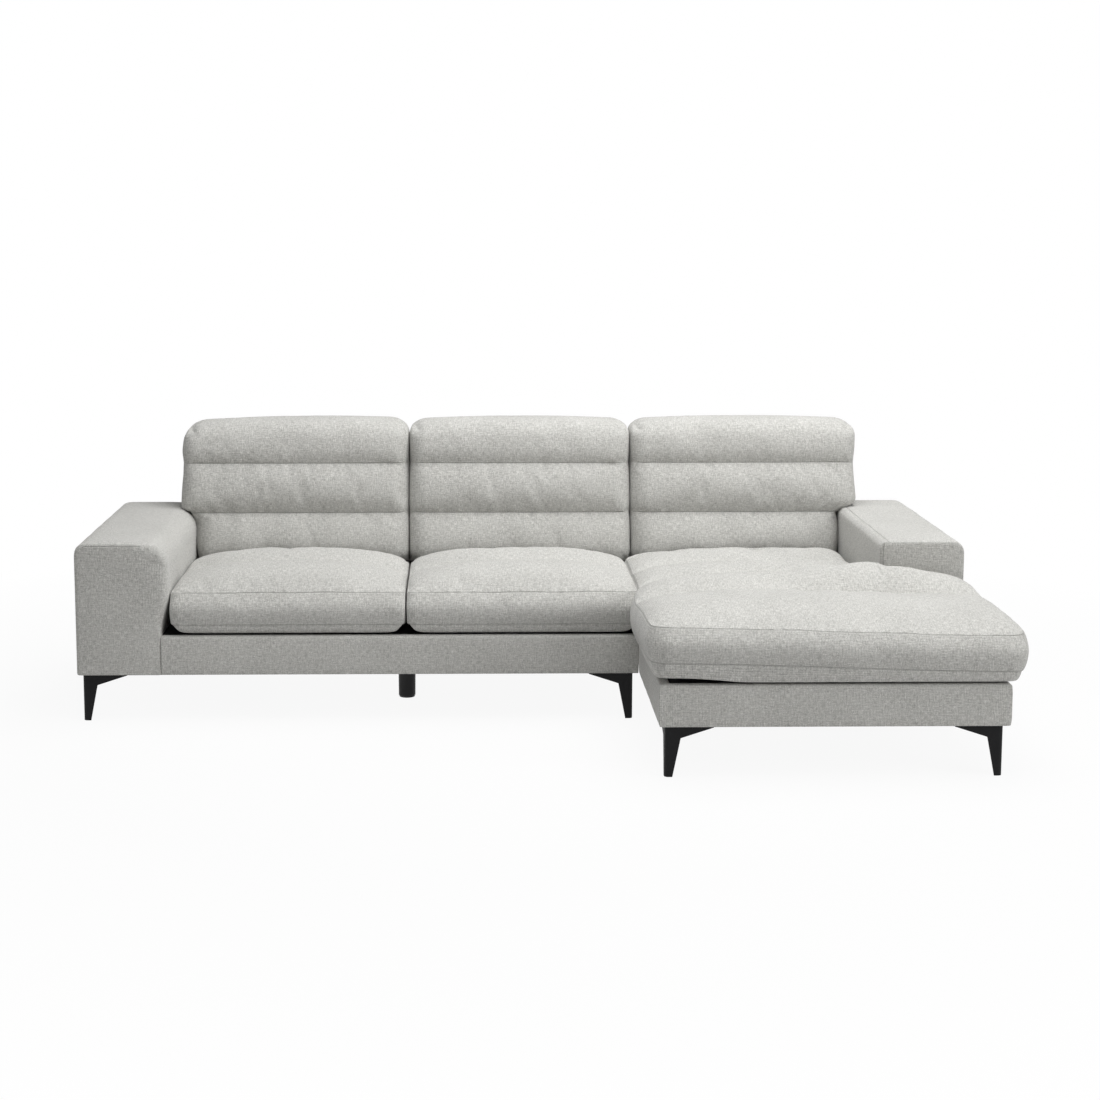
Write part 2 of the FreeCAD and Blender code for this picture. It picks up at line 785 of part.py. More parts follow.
def arc_height(start, end, bulge, y):
    """The height of a channel's arc above the line between its two level seams, at y."""
    half = (end - start) / 2.0
    radius = (half * half + bulge * bulge) / (2.0 * bulge)
    offset = y - (start + end) / 2.0
    return math.sqrt(radius * radius - offset * offset) - (radius - bulge)


def part_bulge(start, end, bulge, chord):
    """The bulge of a shorter chord on the same arc as a channel's."""
    half = (end - start) / 2.0
    radius = (half * half + bulge * bulge) / (2.0 * bulge)
    return radius - math.sqrt(radius * radius - chord * chord / 4.0)


def channel_bulge(start, end, rise):
    return rise * min(cushion_channel_rise, cushion_channel_ratio * (end - start))


def side_points(x, y, inward, inset):
    """The three points of a cushion's upright side at y: bottom, lower seam and top seam."""
    face = y + inward * inset
    return [
        Vector(x, face + inward * cushion_tuck, cushion_bottom + inset),
        Vector(x, face, cushion_bottom + cushion_lower_seam + inset),
        Vector(x, face, cushion_bottom + cushion_top_seam - inset),
    ]


def seam_points(x, seams, rise):
    level = cushion_bottom + cushion_top_seam + cushion_valley_rise * rise
    return [Vector(x, y, level) for y in seams]


def seat_ring(x, place, front, rear, inset):
    """The side section of a plain seat cushion at x."""
    rise = dome(place) if inset == 0.0 else dome(1.0)
    draw = cushion_corner_draw * corner_share(place)
    near, far = front + draw, rear - draw
    seams = seat_seams()
    low = side_points(x, near, 1.0, inset)
    high = side_points(x, far, -1.0, inset)
    points = low + seam_points(x, seams, rise if inset == 0.0 else -inset / cushion_valley_rise)
    points += [high[2], high[1], high[0]]
    tops = [near] + seams + [far]
    bulges = [0.0, cushion_side_bulge]
    bulges += [channel_bulge(a, b, rise) for a, b in zip(tops, tops[1:])]
    bulges += [cushion_side_bulge, 0.0, 0.0]
    return bulged_wire(points, bulges, Vector(1, 0, 0))


def seat_seams():
    """The seams across a seat, as many as fit in front of the backs."""
    room = y_cushion_rear - channel_least - y_seat - channel_first
    return [y_seat + channel_first + number * channel_pitch
            for number in range(1 + int(room / channel_pitch))]


end_places = (0.35, 0.6, 0.75, 0.86, 0.95, 1.0)
cushion_places = [-place for place in reversed(end_places)] + list(end_places)


def seat_cushion(x0, x1):
    """A crowned cushion between two X faces, with channels across it."""
    middle, half = (x0 + x1) / 2.0, (x1 - x0) / 2.0
    front = y_seat + cushion_side_bulge / 2.0
    rings = []
    for place in cushion_places:
        inset = cushion_end_inset if abs(place) == 1.0 else 0.0
        rings.append(seat_ring(middle + half * place, place, front, y_cushion_rear, inset))
    return Part.makeLoft(rings, True, True)


def core_box(x0, x1, y0, y1):
    return box(x0 + core_inset, x1 - core_inset, y0 + core_inset, y1 - core_inset,
               cushion_bottom + core_bottom, cushion_bottom + cushion_top_seam - core_top_cover)


x_chaise_rear_left = x_joint_right + cushion_gap / 2.0
x_chaise_rear_right = x_right_arm - arm_gap
x_chaise_front_left = x_joint_right - chaise_left_swell
x_chaise_front_right = x_right + chaise_side_overhang
y_chaise_cushion = y_front - chaise_front_overhang + cushion_side_bulge
y_split = y_seat - arm_gap
chaise_seams = [y_seat + channel_first - 2.0 * channel_pitch, y_seat + channel_first - channel_pitch]


def chaise_front_ring(x, inset):
    """The side section of the wide front part of the chaise cushion, which ends at the split."""
    middle = (x_chaise_front_left + x_chaise_front_right) / 2.0
    half = (x_chaise_front_right - x_chaise_front_left) / 2.0
    place = (x - middle) / half
    rise = dome(place) if inset == 0.0 else dome(1.0)
    share = corner_share(place)
    swell = max(0.0, (x_joint_right - x) / chaise_left_swell)
    near = y_chaise_cushion + chaise_corner_draw * (share if place < 0.0 else share / 2.0)
    far = y_split - chaise_corner_draw * swell
    seam, next_seam = chaise_seams
    bulge = channel_bulge(seam, next_seam, rise)
    valley = seam_points(x, [seam], rise if inset == 0.0 else -inset / cushion_valley_rise)[0]
    top = Vector(x, far, valley.z + arc_height(seam, next_seam, bulge, far))
    chord = (top - valley).Length
    points = side_points(x, near, 1.0, inset)
    points += [valley, top, Vector(x, far, cushion_bottom + inset)]
    bulges = [0.0, cushion_side_bulge, channel_bulge(near, seam, rise),
              part_bulge(seam, next_seam, bulge, chord), 0.0, 0.0]
    return bulged_wire(points, bulges, Vector(1, 0, 0))


def chaise_rear_ring(x, place, inset):
    """The side section of the narrow rear part of the chaise cushion, which starts at the split."""
    rise = dome(place) if inset == 0.0 else dome(1.0)
    lift = rise if inset == 0.0 else -inset / cushion_valley_rise
    far = y_cushion_rear - cushion_corner_draw * corner_share(place)
    seams = [chaise_seams[1]] + seat_seams()
    bulge = channel_bulge(chaise_seams[0], chaise_seams[1], rise)
    valleys = seam_points(x, seams, lift)
    top = Vector(x, y_split, valleys[0].z + arc_height(chaise_seams[0], chaise_seams[1], bulge, y_split))
    chord = (valleys[0] - top).Length
    high = side_points(x, far, -1.0, inset)
    points = [Vector(x, y_split, cushion_bottom + inset), top] + valleys + [high[2], high[1], high[0]]
    tops = seams + [far]
    bulges = [0.0, part_bulge(chaise_seams[0], chaise_seams[1], bulge, chord)]
    bulges += [channel_bulge(a, b, rise) for a, b in zip(tops, tops[1:])]
    bulges += [cushion_side_bulge, 0.0, 0.0]
    return bulged_wire(points, bulges, Vector(1, 0, 0))


def chaise_cushion_form():
    """The cushion of the chaise: a wide front part that reaches past the arm and a narrow rear part."""
    middle = (x_chaise_front_left + x_chaise_front_right) / 2.0
    half = (x_chaise_front_right - x_chaise_front_left) / 2.0
    stations = [middle + half * place for place in cushion_places[1:-1]]
    stations.append(x_chaise_rear_left)
    rings = [chaise_front_ring(x_chaise_front_left, cushion_end_inset)]
    rings += [chaise_front_ring(x, 0.0) for x in sorted(stations)]
    rings.append(chaise_front_ring(x_chaise_front_right, cushion_end_inset))
    front = Part.makeLoft(rings, True, True)
    middle = (x_chaise_rear_left + x_chaise_rear_right) / 2.0
    half = (x_chaise_rear_right - x_chaise_rear_left) / 2.0
    rings = []
    for place in cushion_places:
        inset = cushion_end_inset if abs(place) == 1.0 else 0.0
        rings.append(chaise_rear_ring(middle + half * place, place, inset))
    return front.fuse(Part.makeLoft(rings, True, True)).removeSplitter()


def chaise_core():
    front = core_box(x_joint_right, x_chaise_front_right, y_chaise_cushion, y_split)
    rear = core_box(x_chaise_rear_left, x_chaise_rear_right, y_split - 3.0 * core_inset, y_cushion_rear)
    return front.fuse(rear).removeSplitter()


# Back units: lofts of level sections up the leaning back

def back_front_draw(level):
    """How far the front face stands behind (or, less than zero, before) the seam line at a height."""
    channel = min(2, int(level / back_channel_pitch + 0.001))
    place = level / back_channel_pitch - channel
    bulge = back_channel_bulge * max(0.0, 1.0 - abs(2.0 * place - 1.0) ** back_channel_power)
    top_start = back_height - back_top_round
    if level > top_start:
        return circle_drop(level - top_start, back_top_round) - bulge
    return circle_drop(back_bottom_round - level, back_bottom_round) - bulge


def arm_draw(level, arm):
    """How far a side is drawn in to lie against the arm beside it, and how it flares out above."""
    overlap, radius, swell = arm
    over_shoulder = max(0.0, back_bottom + level - (arm_top - radius))
    beyond = overlap + swell - radius
    reach = radius + back_arm_gap
    if over_shoulder <= reach:
        return max(0.0, beyond + math.sqrt(reach * reach - over_shoulder * over_shoulder))
    return max(0.0, beyond) * (1.0 - min(1.0, (over_shoulder - reach) / back_flare_height))


def arm_corner(level):
    """How far the front edge of a side is rounded in above the arm, and at its foot."""
    above = min(1.0, max(0.0, back_bottom + level - arm_top) / back_flare_height)
    foot = max(0.0, 1.0 - level / back_foot_height)
    return back_side_corner * (1.0 - above), back_foot_extra * foot * foot


def side_draws(level, arm):
    """How far a side is drawn in at its front and at its rear, round at the top and the bottom."""
    top = circle_drop(level - (back_height - back_top_round), back_top_round)
    if arm is None:
        return top + circle_drop(back_bottom_round - level, back_bottom_round), top
    rear = arm_draw(level, arm)
    corner, foot = arm_corner(level)
    bottom = circle_drop(back_bottom_round - level, back_bottom_round / 2.0)
    return top + bottom + max(rear, corner) + foot, top + rear


def back_ring(x0, x1, level, left_arm, right_arm):
    """The level section of a back unit at a height above its bottom."""
    lean = level * slope
    left_front, left_rear = side_draws(level, left_arm)
    right_front, right_rear = side_draws(level, right_arm)
    front = y_back_seam + lean + back_front_draw(level)
    rear = y_back_seam + back_depth + lean - back_rear_draw(level)
    corner = back_corner
    z = back_bottom + level
    points = [
        Vector(x0 + left_front + corner, front, z),
        Vector(x1 - right_front - corner, front, z),
        Vector(x1 - right_front, front + corner, z),
        Vector(x1 - right_rear, rear - corner / 2.0, z),
        Vector(x1 - right_rear - corner / 2.0, rear, z),
        Vector(x0 + left_rear + corner / 2.0, rear, z),
        Vector(x0 + left_rear, rear - corner / 2.0, z),
        Vector(x0 + left_front, front + corner, z),
    ]
    near = corner_bulge(corner)
    bulges = [back_front_crown, near, 0.0, 0.0, 0.0, 0.0, 0.0, near]
    return bulged_wire(points, bulges, Vector(0, 0, -1))


def leaning_prism(x0, x1, y0, depth, level0, level1):
    """A board between two X faces that leans as the backs do; y0 is its front at the backs' bottom."""
    y_low, y_high = y0 + level0 * slope, y0 + level1 * slope
    points = [
        Vector(x0, y_low, back_bottom + level0),
        Vector(x0, y_low + depth, back_bottom + level0),
        Vector(x0, y_high + depth, back_bottom + level1),
        Vector(x0, y_high, back_bottom + level1),
    ]
    return polygon_prism(points, Vector(x1 - x0, 0, 0))


sleeve_hole = prong_depth + 2.0 * sleeve_face_clearance
sleeve_depth = sleeve_hole + 2.0 * sleeve_wall
sleeve_level = prong_reach * math.cos(math.radians(back_lean)) + fit_clearance
y_sleeve = prong_y(back_bottom) - sleeve_depth / 2.0


def sleeve_boxes(x_bracket):
    """The outside of the two steel sleeves of a back unit."""
    half = prong_width / 2.0 + sleeve_side_clearance + sleeve_wall
    return [leaning_prism(x - half, x + half, y_sleeve, sleeve_depth, 0.0, sleeve_level + sleeve_cap)
            for x in prong_middles(x_bracket)]


def sleeves(x_bracket):
    """The steel sleeves that slip over the bracket's prongs, closed at the top."""
    half = prong_width / 2.0 + sleeve_side_clearance
    made = []
    for x, outside in zip(prong_middles(x_bracket), sleeve_boxes(x_bracket)):
        made.append(outside.cut(leaning_prism(x - half, x + half, y_sleeve + sleeve_wall, sleeve_hole,
                                              0.0, sleeve_level)))
    return Part.makeCompound(made)


def back_board(x0, x1):
    """The wooden board inside a back unit, in front of its sleeves."""
    return leaning_prism(x0 + back_board_inset, x1 - back_board_inset, y_sleeve - back_board_thickness,
                         back_board_thickness, back_board_foot, back_height - back_board_cover)


def back_pad(x0, x1, x_bracket, left_arm, right_arm):
    """The padded back unit, hollow only where its board and sleeves lie."""
    rings = [back_ring(x0, x1, level, left_arm, right_arm) for level in back_levels]
    pad = Part.makeLoft(rings, True, True)
    pad = pad.cut(back_board(x0, x1))
    for outside in sleeve_boxes(x_bracket):
        pad = pad.cut(outside)
    return pad


# All nodes

def build_nodes():
    nodes = {}
    nodes.update(two_seat_rails())
    nodes.update(chaise_rails())

    left_arm = (left_arm_overlap, left_arm_inner_radius, left_arm_swell)
    right_arm = (right_arm_overlap, right_arm_inner_radius, right_arm_swell)
    backs = {
        "left": (left_back_span, x_left_bracket, left_arm, None),
        "middle": (middle_back_span, x_middle_bracket, None, None),
        "right": (right_back_span, x_right_bracket, None, right_arm),
    }
    for side, ((x0, x1), x_bracket, arm_left, arm_right) in backs.items():
        nodes[side + "_back_pad"] = back_pad(x0, x1, x_bracket, arm_left, arm_right)
        nodes[side + "_back_board"] = back_board(x0, x1)
        nodes[side + "_back_sleeves"] = sleeves(x_bracket)
        nodes[side + "_back_bracket"] = bracket(x_bracket)
        rail = "chaise_rear_rail" if side == "right" else "two_seat_rear_rail"
        nodes[rail] = nodes[rail].cut(bracket_bolt_holes(x_bracket))

    nodes["two_seat_left_rail"] = nodes["two_seat_left_rail"].cut(arm_bolt_holes(x_left_arm, 1.0))
    nodes["chaise_arm_rail"] = nodes["chaise_arm_rail"].cut(arm_bolt_holes(x_right_arm, -1.0))
    nodes["two_seat_bolts"] = Part.makeCompound(
        arm_bolts(x_left_arm, 1.0) + bracket_bolts(x_left_bracket) + bracket_bolts(x_middle_bracket))
    nodes["chaise_bolts"] = Part.makeCompound(
        arm_bolts(x_right_arm, -1.0) + bracket_bolts(x_right_bracket))

    nodes["left_arm_frame"] = arm_frame(x_left, 1.0)
    nodes["left_arm_cover"] = arm_cover(x_left, 1.0, left_arm_inner_radius, left_arm_swell)
    nodes["right_arm_frame"] = arm_frame(x_right, -1.0)
    nodes["right_arm_cover"] = arm_cover(x_right, -1.0, right_arm_inner_radius,
                                         right_arm_swell)

    nodes["two_seat_corner_blocks"] = two_seat_corner_blocks()
    nodes["chaise_corner_blocks"] = chaise_corner_blocks()
    nodes["two_seat_webbing"] = two_seat_webbing()
    nodes["chaise_webbing"] = chaise_webbing()
    nodes["two_seat_deck_cloth"] = two_seat_deck_cloth()
    nodes["chaise_deck_cloth"] = chaise_deck_cloth()
    nodes["two_seat_dust_cover"] = dust_cover("two_seat", x_left, x_joint_left, y_seat, y_rear)
    nodes["chaise_dust_cover"] = dust_cover("chaise", x_joint_right, x_base_right, y_front, y_rear)

    nodes["two_seat_front_cover"] = band_along_x(x_left_arm, x_joint_left, y_seat, 1.0)
    nodes["two_seat_rear_cover"] = rear_cover(x_left_arm, x_joint_left)
    nodes["two_seat_wall_frame"] = wall_frame(x_left_arm, x_joint_left, 3)
    nodes["chaise_front_cover"] = chaise_front_cover()
    nodes["chaise_rear_cover"] = rear_cover(x_joint_right, x_right_arm)
    nodes["chaise_wall_frame"] = wall_frame(x_joint_right, x_right_arm, 2)

    for name, corner in leg_corners().items():
        nodes[name] = leg(*corner)
    nodes["support_foot"] = support_foot()
    nodes["two_seat_connectors"] = two_seat_connectors()
    nodes["chaise_connectors"] = chaise_connectors()

    seats = {
        "left_seat": (x_left_arm + left_arm_gap, x_seat_split - cushion_gap / 2.0),
        "middle_seat": (x_seat_split + cushion_gap / 2.0, x_joint_left),
    }
    for side, (x0, x1) in seats.items():
        core = core_box(x0, x1, y_seat, y_cushion_rear)
        nodes[side + "_cushion"] = seat_cushion(x0, x1).cut(core)
        nodes[side + "_core"] = core
    nodes["chaise_cushion"] = chaise_cushion_form().cut(chaise_core())
    nodes["chaise_core"] = chaise_core()
    return nodes


os.makedirs("parts", exist_ok=True)
for node, shape in build_nodes().items():
    shape.exportStep(os.path.join("parts", node + ".step"))
    print(node, len(shape.Solids), shape.isValid(), round(shape.Volume / 1000.0, 1))
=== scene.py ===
import math

import bpy
import numpy as np
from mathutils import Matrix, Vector


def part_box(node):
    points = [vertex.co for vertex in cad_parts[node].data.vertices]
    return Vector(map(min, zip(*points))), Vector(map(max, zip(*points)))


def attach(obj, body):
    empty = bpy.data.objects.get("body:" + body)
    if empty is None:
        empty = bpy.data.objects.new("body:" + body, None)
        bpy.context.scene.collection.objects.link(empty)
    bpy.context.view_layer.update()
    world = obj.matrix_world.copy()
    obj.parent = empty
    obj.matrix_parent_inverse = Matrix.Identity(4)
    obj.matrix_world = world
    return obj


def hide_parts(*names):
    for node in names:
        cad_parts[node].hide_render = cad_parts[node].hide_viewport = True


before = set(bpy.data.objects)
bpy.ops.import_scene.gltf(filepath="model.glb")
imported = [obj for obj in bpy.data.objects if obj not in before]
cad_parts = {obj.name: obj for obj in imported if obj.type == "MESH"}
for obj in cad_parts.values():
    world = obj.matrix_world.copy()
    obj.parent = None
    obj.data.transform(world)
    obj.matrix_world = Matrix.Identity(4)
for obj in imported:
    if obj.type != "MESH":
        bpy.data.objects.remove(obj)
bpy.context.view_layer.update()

# The looks of a sectional sofa: three channelled back units, two seat cushions and the chaise
# cushion, the padded arms and base covers, and the finishes of the wood, steel and linings.
# Metres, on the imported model's own frame.

# Sizes shared with the solids
lean = math.tan(math.radians(12.0))
channel_height = 0.17
back_depth = 0.205
seat_low_seam = 0.036
seam_first = 0.318
seam_pitch = 0.247
cover_depth = 0.012
cover_return = 0.018
rail_top = 0.271
base_top = 0.275
base_bottom = 0.150
arm_top = 0.576
back_bottom = 0.385

# Sizes that only the cloth has
seat_top_seam = 0.136
valley_rise = 0.020
crest_place = 0.74
rear_crest_place = 0.40
front_lean = 0.020
seam_lift = 0.008
seat_puff = 0.012
back_puff = 0.009

# How finely cloth is cut, and the closer cuts beside its edges and seams
cloth_step = 0.014
close_cuts = (0.004, 0.009, 0.016, 0.025)
band_cuts = (0.003, 0.008)

# Points nearer than this lie on one side, and this distance stands for no seam at all
touch = 1e-5
no_seam = 0.05


def free_hands():
    """Leaves edit mode and lets go of everything that is selected."""
    if bpy.context.object and bpy.context.object.mode != "OBJECT":
        bpy.ops.object.mode_set(mode="OBJECT")
    bpy.ops.object.select_all(action="DESELECT")


def take(piece):
    free_hands()
    piece.select_set(True)
    bpy.context.view_layer.objects.active = piece


def settle(piece):
    """Puts a piece's place into its mesh, so that its object sits at the origin."""
    take(piece)
    bpy.ops.object.transform_apply(location=True, rotation=True, scale=True)


def block(name, low, high):
    """A block between two corners, to be cut and shaped."""
    free_hands()
    low, high = np.array(low), np.array(high)
    bpy.ops.mesh.primitive_cube_add(size=1.0, location=(low + high) / 2.0)
    piece = bpy.context.object
    piece.name = piece.data.name = name
    piece.scale = high - low
    settle(piece)
    return piece


def cut_at(piece, axis, places):
    """Cuts a piece through at places along an axis."""
    take(piece)
    bpy.ops.object.mode_set(mode="EDIT")
    way = [0.0, 0.0, 0.0]
    way[axis] = 1.0
    for place in places:
        bpy.ops.mesh.select_all(action="SELECT")
        bpy.ops.mesh.bisect(plane_co=[place * w for w in way], plane_no=way)
    free_hands()


def choose_faces(piece, test):
    """Enters edit mode with the faces selected whose middle and normal pass the test."""
    take(piece)
    bpy.context.tool_settings.mesh_select_mode = (False, False, True)
    mesh = piece.data
    mesh.vertices.foreach_set("select", [False] * len(mesh.vertices))
    mesh.edges.foreach_set("select", [False] * len(mesh.edges))
    mesh.polygons.foreach_set("select", [bool(test(f.center, f.normal)) for f in mesh.polygons])
    bpy.ops.object.mode_set(mode="EDIT")


def pull(piece, test, offset):
    """Extrudes the chosen faces by an offset."""
    choose_faces(piece, test)
    bpy.ops.mesh.extrude_region_move(TRANSFORM_OT_translate={"value": offset})
    free_hands()


def remove_faces(piece, test):
    choose_faces(piece, test)
    bpy.ops.mesh.delete(type="FACE")
    free_hands()


def apply_modifier(piece, kind, **settings):
    take(piece)
    modifier = piece.modifiers.new(kind.lower(), kind)
    for name, value in settings.items():
        setattr(modifier, name, value)
    bpy.ops.object.modifier_apply(modifier=modifier.name)


def read(items, name, width=1, kind=float):
    """One field of all of a mesh's points, edges, corners or faces."""
    values = np.empty(len(items) * width, dtype=kind)
    items.foreach_get(name, values)
    return values.reshape(-1, width) if width > 1 else values


def points_of(piece):
    return read(piece.data.vertices, "co", 3)


def move_points(piece, points):
    piece.data.vertices.foreach_set("co", np.ascontiguousarray(points).ravel())
    piece.data.update()


def spread(start, end, step, fixed=(), near=()):
    """Cut places between two ends: the fixed ones, closer ones near each of them and at the
    ends, and the rest about a step apart."""
    stops = sorted([start, end] + [f for f in fixed if start < f < end])
    places = set(stops[1:-1])
    for a, b in zip(stops, stops[1:]):
        close = [n for n in near if n < (b - a) / 2.0 - step / 3.0]
        places.update(a + n for n in close)
        places.update(b - n for n in close)
        edge = close[-1] if close else 0.0
        room = b - a - 2.0 * edge
        count = max(1, round(room / step))
        places.update(a + edge + room * k / count for k in range(count + 1))
    return sorted({round(p, 5) for p in places if start + 1e-4 < p < end - 1e-4})


def smooth(t):
    t = np.clip(t, 0.0, 1.0)
    return t * t * (3.0 - 2.0 * t)


def fall(distance, reach):
    """Falls evenly from 1 at no distance to 0 at a reach."""
    return np.clip(1.0 - distance / reach, 0.0, 1.0)


def unit(ways):
    """Directions that are all one metre long, apart from those without a length."""
    return ways / np.maximum(np.linalg.norm(ways, axis=1), 1e-9)[:, None]


def rounded(points, first, second, corner, ways, radius):
    """Rounds one corner of a section: the square ring there becomes a round one."""
    axes, ways = [first, second], np.array(ways)
    heart = corner - ways * radius
    out = (points[:, axes] - heart) * ways
    inside = np.flatnonzero((out > 0.0).all(axis=1))
    out = out[inside]
    share = out.max(axis=1) / np.linalg.norm(out, axis=1)
    points = points.copy()
    points[inside[:, None], axes] = heart + ways * out * share[:, None]
    return points


def grain(points, scale, seed):
    """A smooth uneven field from -1 to 1, the same on every run."""
    rng = np.random.default_rng(seed)
    total = np.zeros(len(points))
    for _ in range(7):
        way = rng.normal(size=3)
        way *= rng.uniform(0.6, 1.6) / np.linalg.norm(way) / scale
        total += np.sin(points @ way * 2.0 * math.pi + rng.uniform(0.0, 2.0 * math.pi))
    return total / 3.5


def lay_cloth(piece, points, flat):
    """Moves a piece's points to their shape and gives it its cloth map in metres, taken from the
    flat sides of its block and stretched to the shaped lengths. flat holds the points before."""
    move_points(piece, points)
    mesh = piece.data
    shaped = points_of(piece)
    ends = read(mesh.edges, "vertices", 2, np.int64)
    start, end = flat[ends[:, 0]], flat[ends[:, 1]]
    lengths = np.linalg.norm(shaped[ends[:, 0]] - shaped[ends[:, 1]], axis=1)
    gap = np.abs(end - start)
    # Along each axis, the mean shaped length of the edges between two cuts
    maps = []
    for axis in range(3):
        others = [k for k in range(3) if k != axis]
        along = (gap[:, axis] > 1e-6) & (gap[:, others].max(axis=1) < 1e-6)
        low = np.round(np.minimum(start, end)[along, axis], 5)
        high = np.round(np.maximum(start, end)[along, axis], 5)
        stops = np.unique(np.concatenate([low, high]))
        step = np.searchsorted(stops, low)
        single = np.searchsorted(stops, high) - step == 1
        total = np.bincount(step[single], lengths[along][single], len(stops))
        count = np.bincount(step[single], minlength=len(stops))
        mean = np.where(count > 0, total / np.maximum(count, 1), 0.0)[:-1]
        maps.append((stops, np.concatenate([[0.0], np.cumsum(mean)])))
    place = np.stack([np.interp(flat[:, k], *maps[k]) for k in range(3)], axis=1)
    # Each face takes the two axes along its own side of the block
    loops = read(mesh.loops, "vertex_index", kind=np.int64)
    totals = read(mesh.polygons, "loop_total", kind=np.int64)
    first = np.cumsum(totals) - totals
    corner = flat[loops]
    spans = np.maximum.reduceat(corner, first) - np.minimum.reduceat(corner, first)
    facing = np.repeat(np.argmin(spans, axis=1), totals)
    across = np.where(facing == 0, place[loops, 1], place[loops, 0])
    up = np.where(facing == 2, place[loops, 1], place[loops, 2])
    layer = mesh.uv_layers.new(name="cloth")
    layer.data.foreach_set("uv", np.stack([across, up], axis=1).ravel())


def note(piece, name, values):
    """Keeps one number for each point of a piece, for its finish to read."""
    layer = piece.data.attributes.new(name, "FLOAT", "POINT")
    layer.data.foreach_set("value", np.asarray(values, dtype=np.float32))


def nearest(values, stops):
    """How far each value lies from the nearest of some stops."""
    return np.min([np.abs(values - stop) for stop in stops], axis=0)


plump_steps = 18


def plump(piece, held, limit, growth=0.012):
    """Fills a cushion: its cloth swells between the seams that are held, by no more than limit."""
    before = points_of(piece)
    group = piece.vertex_groups.new(name="held")
    group.add(np.flatnonzero(held).tolist(), 1.0, "REPLACE")
    modifier = piece.modifiers.new("cloth", "CLOTH")
    cloth = modifier.settings
    cloth.quality = 5
    cloth.mass = 0.3
    cloth.tension_stiffness = cloth.compression_stiffness = 15.0
    cloth.shear_stiffness = 5.0
    cloth.bending_stiffness = 0.4
    cloth.air_damping = 2.0
    cloth.shrink_min = -growth
    cloth.use_pressure = True
    cloth.uniform_pressure_force = 4.0
    cloth.effector_weights.gravity = 0.0
    cloth.vertex_group_mass = "held"
    modifier.collision_settings.use_collision = False
    modifier.point_cache.frame_start = 1
    modifier.point_cache.frame_end = plump_steps
    for step in range(1, plump_steps + 1):
        bpy.context.scene.frame_set(step)
    filled = piece.evaluated_get(bpy.context.evaluated_depsgraph_get())
    after = read(filled.data.vertices, "co", 3)
    piece.modifiers.remove(modifier)
    piece.vertex_groups.remove(group)
    bpy.context.scene.frame_set(1)
    moved = after - before
    far = np.linalg.norm(moved, axis=1)
    share = limit * np.tanh(far / limit) / np.maximum(far, 1e-9)
    move_points(piece, before + moved * share[:, None])


def dress(piece, finish, body, nodes):
    """Gives a piece its finish, and says what it rides on and which nodes it stands for."""
    piece.data.materials.clear()
    piece.data.materials.append(finish)
    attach(piece, body)
    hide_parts(*nodes)


def finish_pad(piece, body, nodes):
    """Smooths a filled piece and says what it is."""
    apply_modifier(piece, "SUBSURF", levels=1, render_levels=1)
    take(piece)
    bpy.ops.object.shade_smooth()
    dress(piece, weave, body, nodes)


# Finishes

def operator(operation, reflected=False):
    def work(self, other):
        pair = (other, self) if reflected else (self, other)
        return self.maths(operation, *pair)
    return work


class Value:
    """A number that a finish works out: arithmetic on it adds Math nodes."""

    def __init__(self, finish, socket):
        self.finish, self.socket = finish, socket

    def maths(self, operation, *values):
        node = self.finish.add("ShaderNodeMath", {"operation": operation}, dict(enumerate(values)))
        return Value(self.finish, node.outputs[0])

    __add__, __radd__ = operator("ADD"), operator("ADD", True)
    __sub__, __rsub__ = operator("SUBTRACT"), operator("SUBTRACT", True)
    __mul__, __rmul__ = operator("MULTIPLY"), operator("MULTIPLY", True)
    __truediv__, __pow__ = operator("DIVIDE"), operator("POWER")
    most, least = operator("MAXIMUM"), operator("MINIMUM")

    def __abs__(self):
        return self.maths("ABSOLUTE", self)

    def sine(self):
        return self.maths("SINE", self)

    def clipped(self):
        return self.most(0.0).least(1.0)


